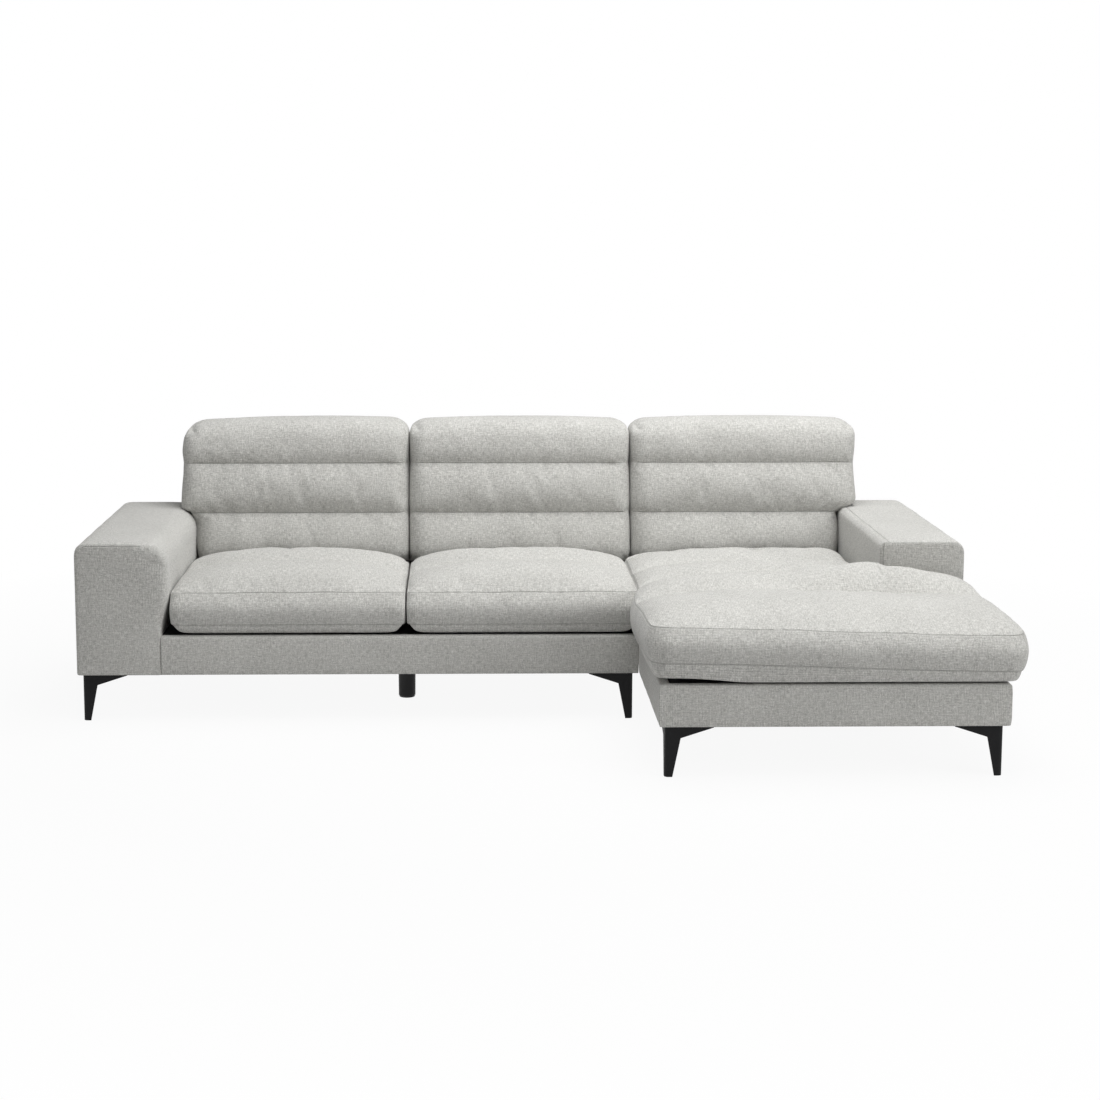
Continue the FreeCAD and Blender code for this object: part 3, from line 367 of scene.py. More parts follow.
class Finish:
    """A material, or the world, that is put together from nodes."""

    def __init__(self, name, library=bpy.data.materials, output="ShaderNodeOutputMaterial"):
        self.owner = library.new(name)
        self.owner.use_nodes = True
        self.tree = self.owner.node_tree
        self.tree.nodes.clear()
        self.output = self.tree.nodes.new(output)

    def add(self, kind, settings=None, inputs=None):
        node = self.tree.nodes.new(kind)
        for name, value in (settings or {}).items():
            setattr(node, name, value)
        for name, value in (inputs or {}).items():
            socket = node.inputs[name]
            if isinstance(value, Value):
                value = value.socket
            if isinstance(value, bpy.types.NodeSocket):
                self.tree.links.new(value, socket)
            elif socket.type == "RGBA" and len(value) == 3:
                socket.default_value = (*value, 1.0)
            else:
                socket.default_value = value
        return node

    def value(self, kind, settings=None, inputs=None, output=0):
        return Value(self, self.add(kind, settings, inputs).outputs[output])

    def vector(self, x, y, z=0.0):
        return self.add("ShaderNodeCombineXYZ", inputs={0: x, 1: y, 2: z}).outputs[0]

    def noise(self, vector, scale, detail=2.0, roughness=0.5):
        return self.value("ShaderNodeTexNoise", inputs={
            "Vector": vector, "Scale": scale, "Detail": detail, "Roughness": roughness})

    def cells(self, vector, scale):
        return self.value("ShaderNodeTexVoronoi", {"feature": "F1"},
                          {"Vector": vector, "Scale": scale})

    def blend(self, factor, first, second):
        """Mixes two colours."""
        node = self.add("ShaderNodeMix", {"data_type": "RGBA"}, {0: factor, 6: first, 7: second})
        return node.outputs[2]

    def places(self):
        """The three coordinates of the object, in metres."""
        vector = self.add("ShaderNodeTexCoord").outputs["Object"]
        split = self.add("ShaderNodeSeparateXYZ", inputs={0: vector})
        return vector, [Value(self, split.outputs[k]) for k in range(3)]

    def surface(self, colour, roughness, normal=None, **fixed):
        inputs = {"Base Color": colour, "Roughness": roughness}
        if normal is not None:
            inputs["Normal"] = normal
        inputs.update({name.replace("_", " "): value for name, value in fixed.items()})
        return self.show(self.add("ShaderNodeBsdfPrincipled", inputs=inputs))

    def show(self, shader):
        """Puts a shader out, and gives what it belongs to."""
        self.tree.links.new(shader.outputs[0], self.output.inputs[0])
        return self.owner

    def bump(self, height, distance, strength=1.0):
        node = self.add("ShaderNodeBump", inputs={
            "Height": height, "Distance": distance, "Strength": strength})
        return node.outputs[0]


weave_pitch = 0.0042
yarn_sway = 0.0012
groove_half = 0.0030
stitch_line = 0.0065
stitch_half = 0.0022
stitch_pitch = 0.0075
cloth_dark = (0.255, 0.252, 0.235)
cloth_light = (0.745, 0.738, 0.705)
# The seam colour is painted shade, laid into the grooves along the seams
seam_painted_shade = (0.22, 0.217, 0.203)


def grey_weave():
    """The sofa's cloth: a coarse plain weave of speckled light grey yarns with thick places. The
    seam attribute draws a groove along each seam, darkened with painted shade, and stitches beside
    it."""
    finish = Finish("grey_weave")
    cloth = finish.add("ShaderNodeUVMap", {"uv_map": "cloth"}).outputs[0]
    split = finish.add("ShaderNodeSeparateXYZ", inputs={0: cloth})
    across, up = Value(finish, split.outputs[0]), Value(finish, split.outputs[1])
    sway = finish.noise(finish.vector(across, up, 3.0), 60.0, 1.0) - 0.5
    turn = math.pi / weave_pitch
    over_warp = ((across + sway * yarn_sway) * turn).sine()
    over_weft = ((up + sway * yarn_sway) * turn).sine()
    over = (over_warp * over_weft * 5.0 + 0.5).clipped()
    thread = abs(over_warp) * over + abs(over_weft) * (1.0 - over)
    upright = finish.noise(finish.vector(across * 260.0, up * 60.0), 1.0, 2.0, 0.6)
    level = finish.noise(finish.vector(across * 60.0, up * 260.0), 1.0, 2.0, 0.6)
    fleck = finish.noise(finish.vector(across * 330.0, up * 330.0, 5.0), 1.0, 2.0, 0.6)
    cloud = finish.noise(finish.vector(across, up, 9.0), 7.0, 2.0)
    yarns = (upright - 0.5) * over * 2.0 + (level - 0.5) * (1.0 - over) * 2.0
    lines = (upright - 0.5) + (level - 0.5)
    tone = (0.5 + yarns * 0.45 + lines * 0.42 + (fleck - 0.5) * 0.95 + (cloud - 0.5) * 0.2
            + (thread - 0.62) * 0.40)
    seam = finish.value("ShaderNodeAttribute", {"attribute_name": "seam"}, output="Fac")
    groove_and_painted_shade = (1.0 - seam / groove_half).clipped()
    beside = (1.0 - abs(seam - stitch_line) / stitch_half).clipped()
    stitch = beside * ((across + up) * (2.0 * math.pi / stitch_pitch)).sine().most(0.0)
    colour = finish.blend(tone.clipped(), cloth_dark, cloth_light)
    # Painted shade: the groove along each seam is darkened towards the seam colour, while the
    # stitches beside it are the thread's own colour
    colour = finish.blend((groove_and_painted_shade * 0.46 + stitch * 0.16).clipped(), colour, seam_painted_shade)
    height = thread * 0.6 + lines * 1.2 + fleck * 0.4
    rough = 0.86 + (fleck - 0.5) * 0.12
    normal = finish.bump(height - groove_and_painted_shade * 3.0 - stitch * 0.8, 0.0008, 0.85)
    return finish.surface(colour, rough, normal, Sheen_Weight=0.25, Sheen_Roughness=0.5,
                          Specular_IOR_Level=0.25)


def lining_black():
    finish = Finish("lining_black")
    vector, (x, y, z) = finish.places()
    turn = math.pi / 0.0016
    mesh = (x * turn).sine() * (y * turn).sine() * 0.5 + 0.5
    fluff = finish.noise(vector, 190.0, 3.0)
    colour = finish.blend((mesh * 0.4 + fluff * 0.6).clipped(),
                          (0.012, 0.012, 0.013), (0.045, 0.045, 0.047))
    return finish.surface(colour, 0.8 + fluff * 0.15, finish.bump(mesh + fluff, 0.0004),
                          Specular_IOR_Level=0.2)


def webbing_weave():
    finish = Finish("webbing_weave")
    vector, (x, y, z) = finish.places()
    ribs = (y * (math.pi / 0.0035)).sine()
    cross = (x * (math.pi / 0.0022)).sine()
    worn = finish.noise(vector, 60.0, 3.0)
    colour = finish.blend((ribs * cross * 0.25 + worn).clipped(),
                          (0.16, 0.12, 0.08), (0.42, 0.36, 0.27))
    return finish.surface(colour, 0.75 + worn * 0.2, finish.bump(ribs * cross, 0.0006))


def foam_cells():
    finish = Finish("foam_cells")
    vector, _ = finish.places()
    cells = finish.cells(vector, 420.0)
    cloud = finish.noise(vector, 9.0, 3.0)
    colour = finish.blend((cells * 0.6 + cloud * 0.5).clipped(),
                          (0.62, 0.58, 0.44), (0.82, 0.79, 0.66))
    return finish.surface(colour, 0.85 + cells * 0.1, finish.bump(cells, 0.0008))


def frame_wood():
    finish = Finish("frame_wood")
    vector, (x, y, z) = finish.places()
    bend = finish.noise(vector, 3.0, 2.0)
    rings = ((z + y * 0.15 + bend * 0.05) * 330.0).sine() * 0.5 + 0.5
    pores = finish.noise(finish.vector(x * 9.0, y * 160.0, z * 160.0), 1.0, 3.0)
    colour = finish.blend((rings * 0.55 + pores * 0.5).clipped(),
                          (0.36, 0.22, 0.11), (0.66, 0.48, 0.29))
    return finish.surface(colour, 0.55 + pores * 0.25, finish.bump(rings * 0.4 + pores, 0.0004))


def black_steel():
    """Powder-coated black steel, satin, a little rubbed."""
    finish = Finish("black_steel")
    vector, _ = finish.places()
    peel = finish.noise(vector, 900.0, 2.0)
    rub = finish.noise(vector, 24.0, 4.0)
    colour = finish.blend((rub * 1.4 - 0.2).clipped(),
                          (0.005, 0.005, 0.0055), (0.011, 0.011, 0.012))
    return finish.surface(colour, 0.46 + rub * 0.16, finish.bump(peel, 0.00012),
                          Specular_IOR_Level=0.22)


def zinc_steel():
    finish = Finish("zinc_steel")
    vector, (x, y, z) = finish.places()
    drawn = finish.noise(finish.vector(x * 40.0, y * 400.0, z * 400.0), 1.0, 2.0)
    spangle = finish.cells(vector, 130.0)
    colour = finish.blend((drawn * 0.5 + spangle * 0.6).clipped(),
                          (0.42, 0.43, 0.45), (0.62, 0.63, 0.65))
    return finish.surface(colour, 0.3 + drawn * 0.2, finish.bump(drawn, 0.0001), Metallic=1.0)


def black_plastic():
    finish = Finish("black_plastic")
    vector, _ = finish.places()
    grit = finish.noise(vector, 1200.0, 2.0)
    cloud = finish.noise(vector, 30.0, 3.0)
    colour = finish.blend(cloud, (0.010, 0.010, 0.011), (0.022, 0.022, 0.023))
    return finish.surface(colour, 0.48 + cloud * 0.12, finish.bump(grit, 0.00015),
                          Specular_IOR_Level=0.4)


weave = grey_weave()
lining = lining_black()

webbing, foam, wood = webbing_weave(), foam_cells(), frame_wood()
steel, zinc, plastic = black_steel(), zinc_steel(), black_plastic()

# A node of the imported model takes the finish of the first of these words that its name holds
looks = [("leg_", steel), ("foot", plastic), ("webbing", webbing), ("core", foam)]
looks += [(word, zinc) for word in ("bolts", "bracket", "sleeves", "connectors")]
looks += [(word, wood) for word in ("rail", "blocks", "arm_frame", "wall_frame", "board")]
looks += [("cloth", lining), ("dust", lining), ("", weave)]

for name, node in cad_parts.items():
    for place in node.material_slots:
        place.material = next(look for word, look in looks if word in name)


# Seat cushions

# The front of the seats: the front face of the two-seat section's band
y_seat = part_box("two_seat_front_cover")[0].y


def sewn_lines(*steps):
    """The seams across the seats and the chaise cushion, which run on from one to the other."""
    return [y_seat + seam_first + step * seam_pitch for step in steps]


def edge_rise(distance, reach, power=3.0):
    """The share of the full crown at a distance in from a cushion's side."""
    return np.sqrt(1.0 - fall(distance, reach) ** power)


def edge_curl(ends, reach):
    """The share by which a cushion's underside curls up at a distance in from its ends."""
    return 0.9 * (1.0 - np.sqrt(1.0 - fall(ends, reach) ** 2))


def channel_crown(y, stops, crests, rise):
    """The height of a top panel above its seams along the cushion's depth: each channel climbs
    to its crest and drops steeply to the seam behind it."""
    height = np.zeros(len(y))
    levels = [0.0] + [valley_rise] * (len(stops) - 2) + [0.0]
    for k, (a, b, crest) in enumerate(zip(stops, stops[1:], crests)):
        turn = rear_crest_place if k == len(crests) - 1 else crest_place
        t = np.clip((y - a) / (b - a), 0.0, 1.0)
        climb = fall(t, turn)
        climb = (1.0 - climb ** 2.2) ** 0.8 if k == 0 else 1.0 - climb ** 2.0
        before = levels[k] + (crest - levels[k]) * climb
        after = levels[k + 1] + (crest - levels[k + 1]) * (
            1.0 - np.clip((t - turn) / (1.0 - turn), 0.0, 1.0) ** 2.0)
        height = np.where((y >= a) & (y <= b), np.where(t < turn, before, after), height)
    return height * rise


def boxing(points, flat, normal, low_seam, top_seam, bottom, inside, curl):
    """Bulges a cushion's side between its two seams, leans its front back above the middle and
    tucks it in below the lower seam. inside is the distance in from the outline, normal the way
    out of it, and curl the share by which the underside rises."""
    middle, half = (low_seam + top_seam) / 2.0, (top_seam - low_seam) / 2.0
    z = flat[:, 2]
    out = 0.011 * np.clip(1.0 - ((z - middle) / half) ** 2, 0.0, 1.0) * (z > low_seam)
    under = np.clip((low_seam - z) / (low_seam - bottom), 0.0, 1.0)
    tuck = 0.015 * under ** 2.2 * fall(inside, 0.07)
    shift = np.where(inside < touch, out, 0.0) - tuck
    points[:, :2] += normal * shift[:, None]
    front = flat[:, 1] - flat[:, 1].min()
    points[:, 1] += front_lean * smooth((z - middle) / half) * fall(front, 0.14) ** 2
    edge = fall(inside, 0.035) * 0.22
    points[:, 2] += (low_seam - bottom) * under * np.maximum(curl, edge)
    return points


def cut_cushion(piece, x_span, y_span, z_span, x_stops, y_stops, low_seam):
    """Cuts a seat's or the chaise's block finely, with a cut at each seam."""
    cut_at(piece, 0, spread(*x_span, cloth_step, fixed=x_stops, near=close_cuts))
    cut_at(piece, 1, spread(*y_span, cloth_step, fixed=y_stops, near=close_cuts))
    cut_at(piece, 2, spread(*z_span, cloth_step, fixed=[low_seam], near=(0.005,)))


def seam_distance(flat, inside, seams, low_seam, top_seam):
    """How far each point of a cushion lies from its nearest seam."""
    y, z = flat[:, 1], flat[:, 2]
    return np.where(z > top_seam - touch, np.minimum(nearest(y, seams), inside),
                    nearest(z, (low_seam, top_seam)))


def seat_cushion(name, body, node):
    """A boxed seat cushion with a crowned top that is sewn down across its width."""
    low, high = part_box(node)
    x0, x1 = low.x, high.x
    y0, y1 = low.y + 0.010, high.y - 0.006
    bottom = low.z
    seam_low, seam_top = bottom + seat_low_seam, bottom + seat_top_seam
    seams = sewn_lines(0, 1)
    piece = block(name, (x0, y0, bottom), (x1, y1, seam_top))
    cut_cushion(piece, (x0, x1), (y0, y1), (bottom, seam_top), (), seams, seam_low)
    flat = points_of(piece)
    x, y, z = flat.T
    from_side = np.minimum(x - x0, x1 - x)
    inside = np.minimum.reduce([from_side, y - y0, y1 - y])
    points = flat
    for corner, ways, radius in (((x0, y0), (-1, -1), 0.030), ((x1, y0), (1, -1), 0.030),
                                 ((x0, y1), (-1, 1), 0.085), ((x1, y1), (1, 1), 0.085)):
        points = rounded(points, 0, 1, corner, ways, radius)
    heart = np.stack([np.clip(points[:, 0], x0 + 0.03, x1 - 0.03),
                      np.clip(points[:, 1], y0 + 0.03, y1 - 0.03)], axis=1)
    points = boxing(points, flat, unit(points[:, :2] - heart), seam_low, seam_top, bottom,
                    inside, edge_curl(from_side, 0.125))
    top = z > seam_top - touch
    rise = edge_rise(np.maximum(from_side - 0.010, 0.0), 0.32, 2.0)
    crown = channel_crown(y, [y0] + seams + [y1], (0.064, 0.063, 0.044), rise)
    points[:, 2] += top * (crown + 0.002 * grain(flat, 0.16, 3) * rise)
    lay_cloth(piece, points, flat)
    seam = seam_distance(flat, inside, seams, seam_low, seam_top)
    plump(piece, (seam < 1e-4) | (z < seam_low), seat_puff)
    # Neighbours press it flat at its sides
    settled = points_of(piece)
    settled[:, 0] = np.clip(settled[:, 0], x0 + 0.0005, x1 - 0.0005)
    move_points(piece, settled)
    note(piece, "seam", np.where(z < bottom + 1e-4, no_seam, seam))
    finish_pad(piece, body, [node])


seat_cushion("left_seat_pad", "left_seat", "left_seat_cushion")
seat_cushion("middle_seat_pad", "middle_seat", "middle_seat_cushion")


def chaise_pad():
    """The chaise cushion: wide in front, where it swells past the base, and narrow beside the
    arm. x0 and x1 are its sides, x2 its side beside the arm, and split the front of the arm."""
    low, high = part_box("chaise_cushion")
    band_low, band_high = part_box("two_seat_front_cover")
    x0, x1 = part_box("chaise_front_cover")[0].x + 0.002, high.x
    x2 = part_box("right_arm_cover")[0].x - 0.014
    y0, y1 = low.y + 0.010, high.y - 0.010
    split = y_seat - 0.014
    bottom = low.z
    seam_low, seam_top = bottom + seat_low_seam, bottom + seat_top_seam
    seams = sewn_lines(-2, -1, 0, 1)
    piece = block("chaise_pad", (x0, y0, bottom), (x1, split, seam_top))
    cut_at(piece, 0, [x2])
    pull(piece, lambda c, n: n.y > 0.9 and c.x < x2, (0.0, y1 - split, 0.0))
    cut_cushion(piece, (x0, x1), (y0, y1), (bottom, seam_top), [x2], seams + [split], seam_low)
    flat = points_of(piece)
    x, y, z = flat.T
    front = y < split + 1e-6
    left, ahead = x - x0, y - y0
    right = np.where(front, x1 - x, x2 - x)
    behind = np.where(x > x2 + 1e-6, split - y, y1 - y)
    near = np.minimum.reduce([left, right, ahead, behind])
    notch = np.hypot(np.maximum(x2 - x, 0.0), np.maximum(split - y, 0.0))
    inside = np.minimum(near, notch)
    points = flat
    for corner, ways, radius in (
            ((x0, y0), (-1, -1), 0.050), ((x1, y0), (1, -1), 0.045),
            ((x1, split), (1, 1), 0.035), ((x0, y1), (-1, 1), 0.030), ((x2, y1), (1, 1), 0.030)):
        points = rounded(points, 0, 1, corner, ways, radius)
    way = np.zeros((len(flat), 2))
    for axis, before, after in ((0, left, right), (1, ahead, behind)):
        outline = np.where(after < touch, 1.0, 0.0) - np.where(before < touch, 1.0, 0.0)
        within = np.where(after < near + 1e-6, 1.0, np.where(before < near + 1e-6, -1.0, 0.0))
        way[:, axis] = np.where(near > touch, within, outline)
    # The underside rises far in from the left, and only at the edge on the right
    from_side = np.minimum(left, np.where(front, x1 - x, 1.0))
    curl = np.where(x < x2, 0.55 * smooth((0.36 - from_side) / 0.30), edge_curl(from_side, 0.075))
    points = boxing(points, flat, unit(way), seam_low, seam_top, bottom, near, curl)
    # The crown ebbs towards the right, at the arm's side and at its front
    top = z > seam_top - touch
    beside_arm = smooth((y - split) / 0.12)
    beyond_arm = smooth((x - x2) / 0.07)
    far_side = edge_rise(x1 - x, 0.80)
    at_arm = far_side + beside_arm * (edge_rise(right, 0.13) - far_side)
    far_side = np.where(front, far_side, at_arm)
    far_edge = 1.0 - beyond_arm * (1.0 - edge_rise(np.maximum(split - y, 0.0), 0.045))
    rise = edge_rise(left, 0.38, 2.0) * far_side * np.where(front, far_edge, 1.0)
    crown = channel_crown(y, [y0] + seams + [y1], (0.054, 0.068, 0.060, 0.054, 0.046), rise)
    points[:, 2] += top * crown
    # It is pushed up where it meets the front of the arm
    pushed = smooth((y - split + 0.17) / 0.12) * smooth((x - 0.72) / 0.38)
    pushed = pushed * edge_rise(x1 - x, 0.25)
    pushed *= np.where(front, far_edge, 1.0 - smooth((y - split) / 0.13))
    push = 0.036 + 0.009 * np.exp(-((x - 1.16) / 0.08) ** 2)
    points[:, 2] += top * push * pushed
    # Its right edge swells upwards between the corners
    swollen = np.clip(1.0 - np.abs((y + 0.47) / 0.33) ** 3, 0.0, 1.0)
    swollen = swollen * smooth((x - x1 + 0.30) / 0.30)
    points[:, 2] += 0.016 * swollen * smooth((z - seam_low) / (seam_top - seam_low))
    points[:, 2] += top * 0.002 * grain(flat, 0.16, 5) * rise
    # Its left side swells past the base in front of the seats, and its front corner lifts there
    along = np.clip(1.0 - np.abs((y - (y_seat - 0.353)) / 0.375) ** 3, 0.0, 1.0)
    points[:, 0] -= 0.036 * np.sqrt(along) * fall(left, 0.25)
    tilt = 0.004 + 0.026 * (1.0 - smooth(left / (x1 - x0)))
    points[:, 2] += tilt * smooth((z - bottom) / 0.03) * smooth((y_seat - 0.10 - y) / 0.38)
    lay_cloth(piece, points, flat)
    seam = seam_distance(flat, inside, seams, seam_low, seam_top)
    plump(piece, (seam < 1e-4) | (z < seam_low), seat_puff)
    # Its left side leaves room for the end of the two-seat section, which is lifted past it
    points = points_of(piece)
    room = smooth((points[:, 1] - band_low.y + 0.055) / 0.040)
    room *= smooth((band_high.z + 0.072 - points[:, 2]) / 0.024)
    points[:, 0] += room * np.maximum(band_high.x + 0.003 - points[:, 0], 0.0)
    move_points(piece, points)
    note(piece, "seam", np.where(z < bottom + 1e-4, no_seam, seam))
    finish_pad(piece, "chaise_seat", ["chaise_cushion"])


chaise_pad()


# Back units

y_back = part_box("middle_back_pad")[0].y + 0.023


def arm_hug(level, overlap, radius, swell):
    """How far a back unit's side is drawn in at a level to lie against the arm, and how it
    flares out again above it."""
    over = np.maximum(0.0, back_bottom + level - (arm_top - radius))
    beyond = overlap + swell - radius
    reach = radius + 0.0015
    beside = beyond + np.sqrt(np.maximum(reach * reach - over * over, 0.0))
    above = max(0.0, beyond) * fall(over - reach, 0.016)
    return np.where(over <= reach, np.maximum(0.0, beside), above)


def channel_belly(level, height, seams):
    """How far a back unit's front stands out at a level, as a share of a full channel: fullest
    low in each channel, and in the top one up to the crown."""
    levels = np.array([0.0, *seams, height])
    channel = np.clip(np.searchsorted(levels, level + 1e-6) - 1, 0, 2)
    place = (level - levels[channel]) / (levels[channel + 1] - levels[channel])
    fullest = 0.36
    belly = np.where(place < fullest, 1.0 - np.maximum(1.0 - place / fullest, 0.0) ** 2.6,
                     1.0 - (np.clip(place - fullest, 0.0, 1.0) / (1.0 - fullest)) ** 2.2)
    crown = np.where(place < fullest, belly, 1.0 - 0.45 * (place - fullest))
    return np.where(channel == 2, crown, belly)


def back_unit(name, body, node, left_arm, right_arm, corners, slant):
    """A back unit of three sewn channels that leans back and rests on the low wall. The arm on
    either side is given by how far the unit passes over it, its shoulder's radius and its swell.
    corners are the radii of the upper corners, and slant how much higher the right end is."""
    low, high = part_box(node)
    height = 3.0 * channel_height
    x0, x1 = low.x, high.x
    bottom, top = back_bottom, back_bottom + height
    y0, y1 = y_back, y_back + back_depth
    piece = block(name, (x0, y0, bottom), (x1, y1, top))
    seams = [bottom + seam_lift + channel_height, bottom + seam_lift + 2.0 * channel_height]
    cut_at(piece, 0, spread(x0, x1, cloth_step, near=close_cuts[1:]))
    cut_at(piece, 1, spread(y0, y1, cloth_step, near=(0.008,)))
    cut_at(piece, 2, spread(bottom, top, cloth_step, fixed=seams, near=close_cuts))
    flat = points_of(piece)
    x, y, z = flat.T
    level = z - bottom
    points = flat
    for axes, corner, ways, radius in (
            ((1, 2), (y0, top), (-1, 1), 0.075), ((1, 2), (y1, top), (1, 1), 0.085),
            ((1, 2), (y0, bottom), (-1, -1), 0.024), ((1, 2), (y1, bottom), (1, -1), 0.016),
            ((0, 1), (x0, y0), (-1, -1), 0.034), ((0, 1), (x1, y0), (1, -1), 0.034),
            ((0, 1), (x0, y1), (-1, 1), 0.022), ((0, 1), (x1, y1), (1, 1), 0.022),
            ((0, 2), (x0, top), (-1, 1), corners[0]), ((0, 2), (x1, top), (1, 1), corners[1])):
        points = rounded(points, *axes, corner, ways, radius)
    # Its lower corners are round in front only
    share = (y - y0) / back_depth
    square = points.copy()
    for corner, ways, arm in (((x0, bottom), (-1, -1), left_arm),
                              ((x1, bottom), (1, -1), right_arm)):
        points = rounded(points, 0, 2, corner, ways, 0.020 if arm else 0.050)
    points += (square - points) * smooth(share / 0.35)[:, None]
    for arm, side, way in ((left_arm, x - x0, 1.0), (right_arm, x1 - x, -1.0)):
        if arm:
            hug = arm_hug(level, *arm)
            foot = 0.016 * fall(level, 0.1) ** 2 * (1.0 - share)
            points[:, 0] += way * (hug + foot) * fall(side, 0.26)
    belly = channel_belly(level, height, [seam - bottom for seam in seams])
    beside = np.minimum(x - x0, x1 - x)
    fade = 0.30 + 0.70 * smooth((beside - 0.004) / 0.05)
    ahead = 1.0 - smooth((y - y0) / 0.05)
    points[:, 1] -= 0.022 * belly * fade * ahead
    centre = (x0 + x1) / 2.0
    crown = 1.0 - ((x - centre) / ((x1 - x0) / 2.0)) ** 2
    points[:, 1] -= 0.006 * crown * ahead
    points[:, 1] += 0.002 * grain(flat, 0.2, len(name)) * ahead
    points[:, 2] -= (0.003 + 0.013 * (1.0 - crown)) * smooth((level - 0.36) / 0.15)
    points[:, 2] += slant * (x - centre) / (x1 - x0) * smooth((level - 0.34) / 0.12)
    if slant:
        points[:, 0] += 0.012 * smooth((level - 0.38) / 0.11) * fall(x - x0, 0.2)
    # Small upright gathers beside the seams
    to_seam = nearest(z, seams)
    gathers = grain(flat * (1.0, 1.0, 0.2), 0.045, 31) * np.exp(-(to_seam / 0.032) ** 2)
    points[:, 1] += 0.0022 * gathers * ahead
    middle = 1.0 - np.abs(2.0 * share - 1.0) ** 2.5
    puff = 0.0016 * middle * (1.0 - smooth(beside / 0.05))
    points[:, 0] += puff * np.sign(x - centre)
    points[:, 1] += (points[:, 2] - bottom) * lean
    lay_cloth(piece, points, flat)
    seam = np.where(y < y0 + touch, to_seam, no_seam)
    held = ((seam < 1e-4) & (beside > 0.02)) | (z < bottom + 1e-4)
    plump(piece, held, back_puff, growth=0.018)
    # Its sides lie flat against the next units, and it stays within its node's height
    settled = points_of(piece)
    settled[:, 0] = np.clip(settled[:, 0], x0 - 0.0016, x1 + 0.0016)
    pressed = (share > 0.22) & (share < 0.80) & (level > 0.03) & (level < height - 0.10)
    for arm, on, side in ((left_arm, x < x0 + touch, x0 - 0.0014),
                          (right_arm, x > x1 - touch, x1 + 0.0014)):
        if not arm:
            settled[on & pressed, 0] = side
    settled[:, 2] = np.clip(settled[:, 2], bottom, high.z + 0.002)
    move_points(piece, settled)
    note(piece, "seam", np.where(beside > 0.016, seam, no_seam))
    finish_pad(piece, body, [node])


back_unit("left_back_unit", "left_back", "left_back_pad",
          (0.031, 0.070, 0.025), None, (0.066, 0.064), 0.010)
back_unit("middle_back_unit", "middle_back", "middle_back_pad",
          None, None, (0.056, 0.056), 0.0)
back_unit("right_back_unit", "right_back", "right_back_pad",
          None, (0.067, 0.022, 0.0), (0.056, 0.060), 0.0)


# Arms

def arm_pad(name, body, node, way, inner_radius, swell, crisp, seam_drop, seam_start):
    """A padded arm with a flat face at each end and a seam round the face's top. It swells
    inwards above the seat's deck, and crisp is the radius of its end edges. The seam runs
    seam_drop below the top and begins seam_start in from the seat's side."""
    low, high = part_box(node)
    x_out, x_in = (low.x, high.x) if way > 0 else (high.x, low.x)
    y0, y1, top = low.y, high.y, arm_top
    centre, half = (low.x + high.x) / 2.0, (high.x - low.x) / 2.0
    piece = block(name, (low.x, y0, base_bottom + 0.0003), (high.x, y1, top))
    cut_at(piece, 0, spread(low.x, high.x, cloth_step, near=close_cuts[1:]))
    cut_at(piece, 1, spread(y0, y1, 0.016, near=close_cuts))
    cut_at(piece, 2, spread(base_bottom, top, cloth_step, near=close_cuts[1:]))
    flat = points_of(piece)
    x, y, z = flat.T
    side = np.minimum(x - low.x, high.x - x)
    inner = (x_in - x) * way
    rim = np.minimum(side, top - z)
    points = rounded(flat, 0, 2, (x_out, top), (-way, 1), 0.038)
    points = rounded(points, 0, 2, (x_in, top), (way, 1), inner_radius)
    # The edges of the end faces are rounded towards the arm's heart
    heart = np.stack([np.clip(points[:, 0], low.x + 0.12, high.x - 0.12),
                      np.minimum(points[:, 2], top - 0.12)], axis=1)
    inward = unit(heart - points[:, [0, 2]])
    edge = crisp + (0.014 * smooth((0.12 - inner) / 0.06) if swell else 0.0)
    edge = edge + (0.004 - edge) * smooth((0.05 - inner) / 0.04) * smooth((0.315 - z) / 0.04)
    for reach, turn in ((y - y0, 1.0), (y1 - y, -1.0)):
        q = np.clip(rim - edge, -edge, 0.0)
        s = np.clip(reach - edge, -edge, 0.0)
        near = (reach < edge) & (rim < edge)
        length = np.sqrt(q * q + s * s)
        scale = np.where(near, np.maximum(-q, -s) / np.maximum(length, 1e-9), 1.0)
        points[:, [0, 2]] += inward * (np.where(near, q * scale - q, 0.0))[:, None]
        points[:, 1] += turn * np.where(near, s * scale - s, 0.0)
    ebb = smooth((0.41 - z) / 0.125)
    points[:, 0] -= way * swell * ebb * fall(inner, 0.10)
    crown = np.clip(1.0 - ((x - centre) / half) ** 2, 0.0, 1.0)
    ends = smooth(np.minimum(y - y0, y1 - y) / 0.05)
    points[:, 2] += (z > top - touch) * (0.004 * crown + 0.001 * grain(flat, 0.2, 7)) * ends
    face = (y < y0 + touch) | (y > y1 - touch)
    pad = 0.004 * smooth(rim / 0.08) * smooth((z - base_bottom) / 0.1)
    points[:, 1] += np.where(face, np.where(y < (y0 + y1) / 2.0, -pad, pad), 0.0)
    if swell:
        dimple = np.hypot((inner - 0.030) / 0.020, (z - 0.505) / 0.012)
        points[:, 1] += np.where(face & (y < y0 + touch), 0.005 * np.exp(-dimple ** 2), 0.0)
    lay_cloth(piece, points, flat)
    seam = np.where(face & (inner > seam_start) & (side > 0.02),
                    np.abs(top - z - seam_drop), no_seam)
    if not swell:
        # One more runs down the end face, and one along the top
        seam = np.minimum(seam, np.where(face, np.abs(inner - seam_start), no_seam))
        seam = np.minimum(seam, np.where(z > top - touch, np.abs(inner - 0.025), no_seam))
    note(piece, "seam", seam)
    finish_pad(piece, body, [node])


arm_pad("left_arm_pad", "two_seat_section", "left_arm_cover", 1,
        inner_radius=0.070, swell=0.025, crisp=0.013, seam_drop=0.009, seam_start=0.075)
arm_pad("right_arm_pad", "chaise_section", "right_arm_cover", -1,
        inner_radius=0.022, swell=0.0, crisp=0.008, seam_drop=0.004, seam_start=0.009)


# Base covers

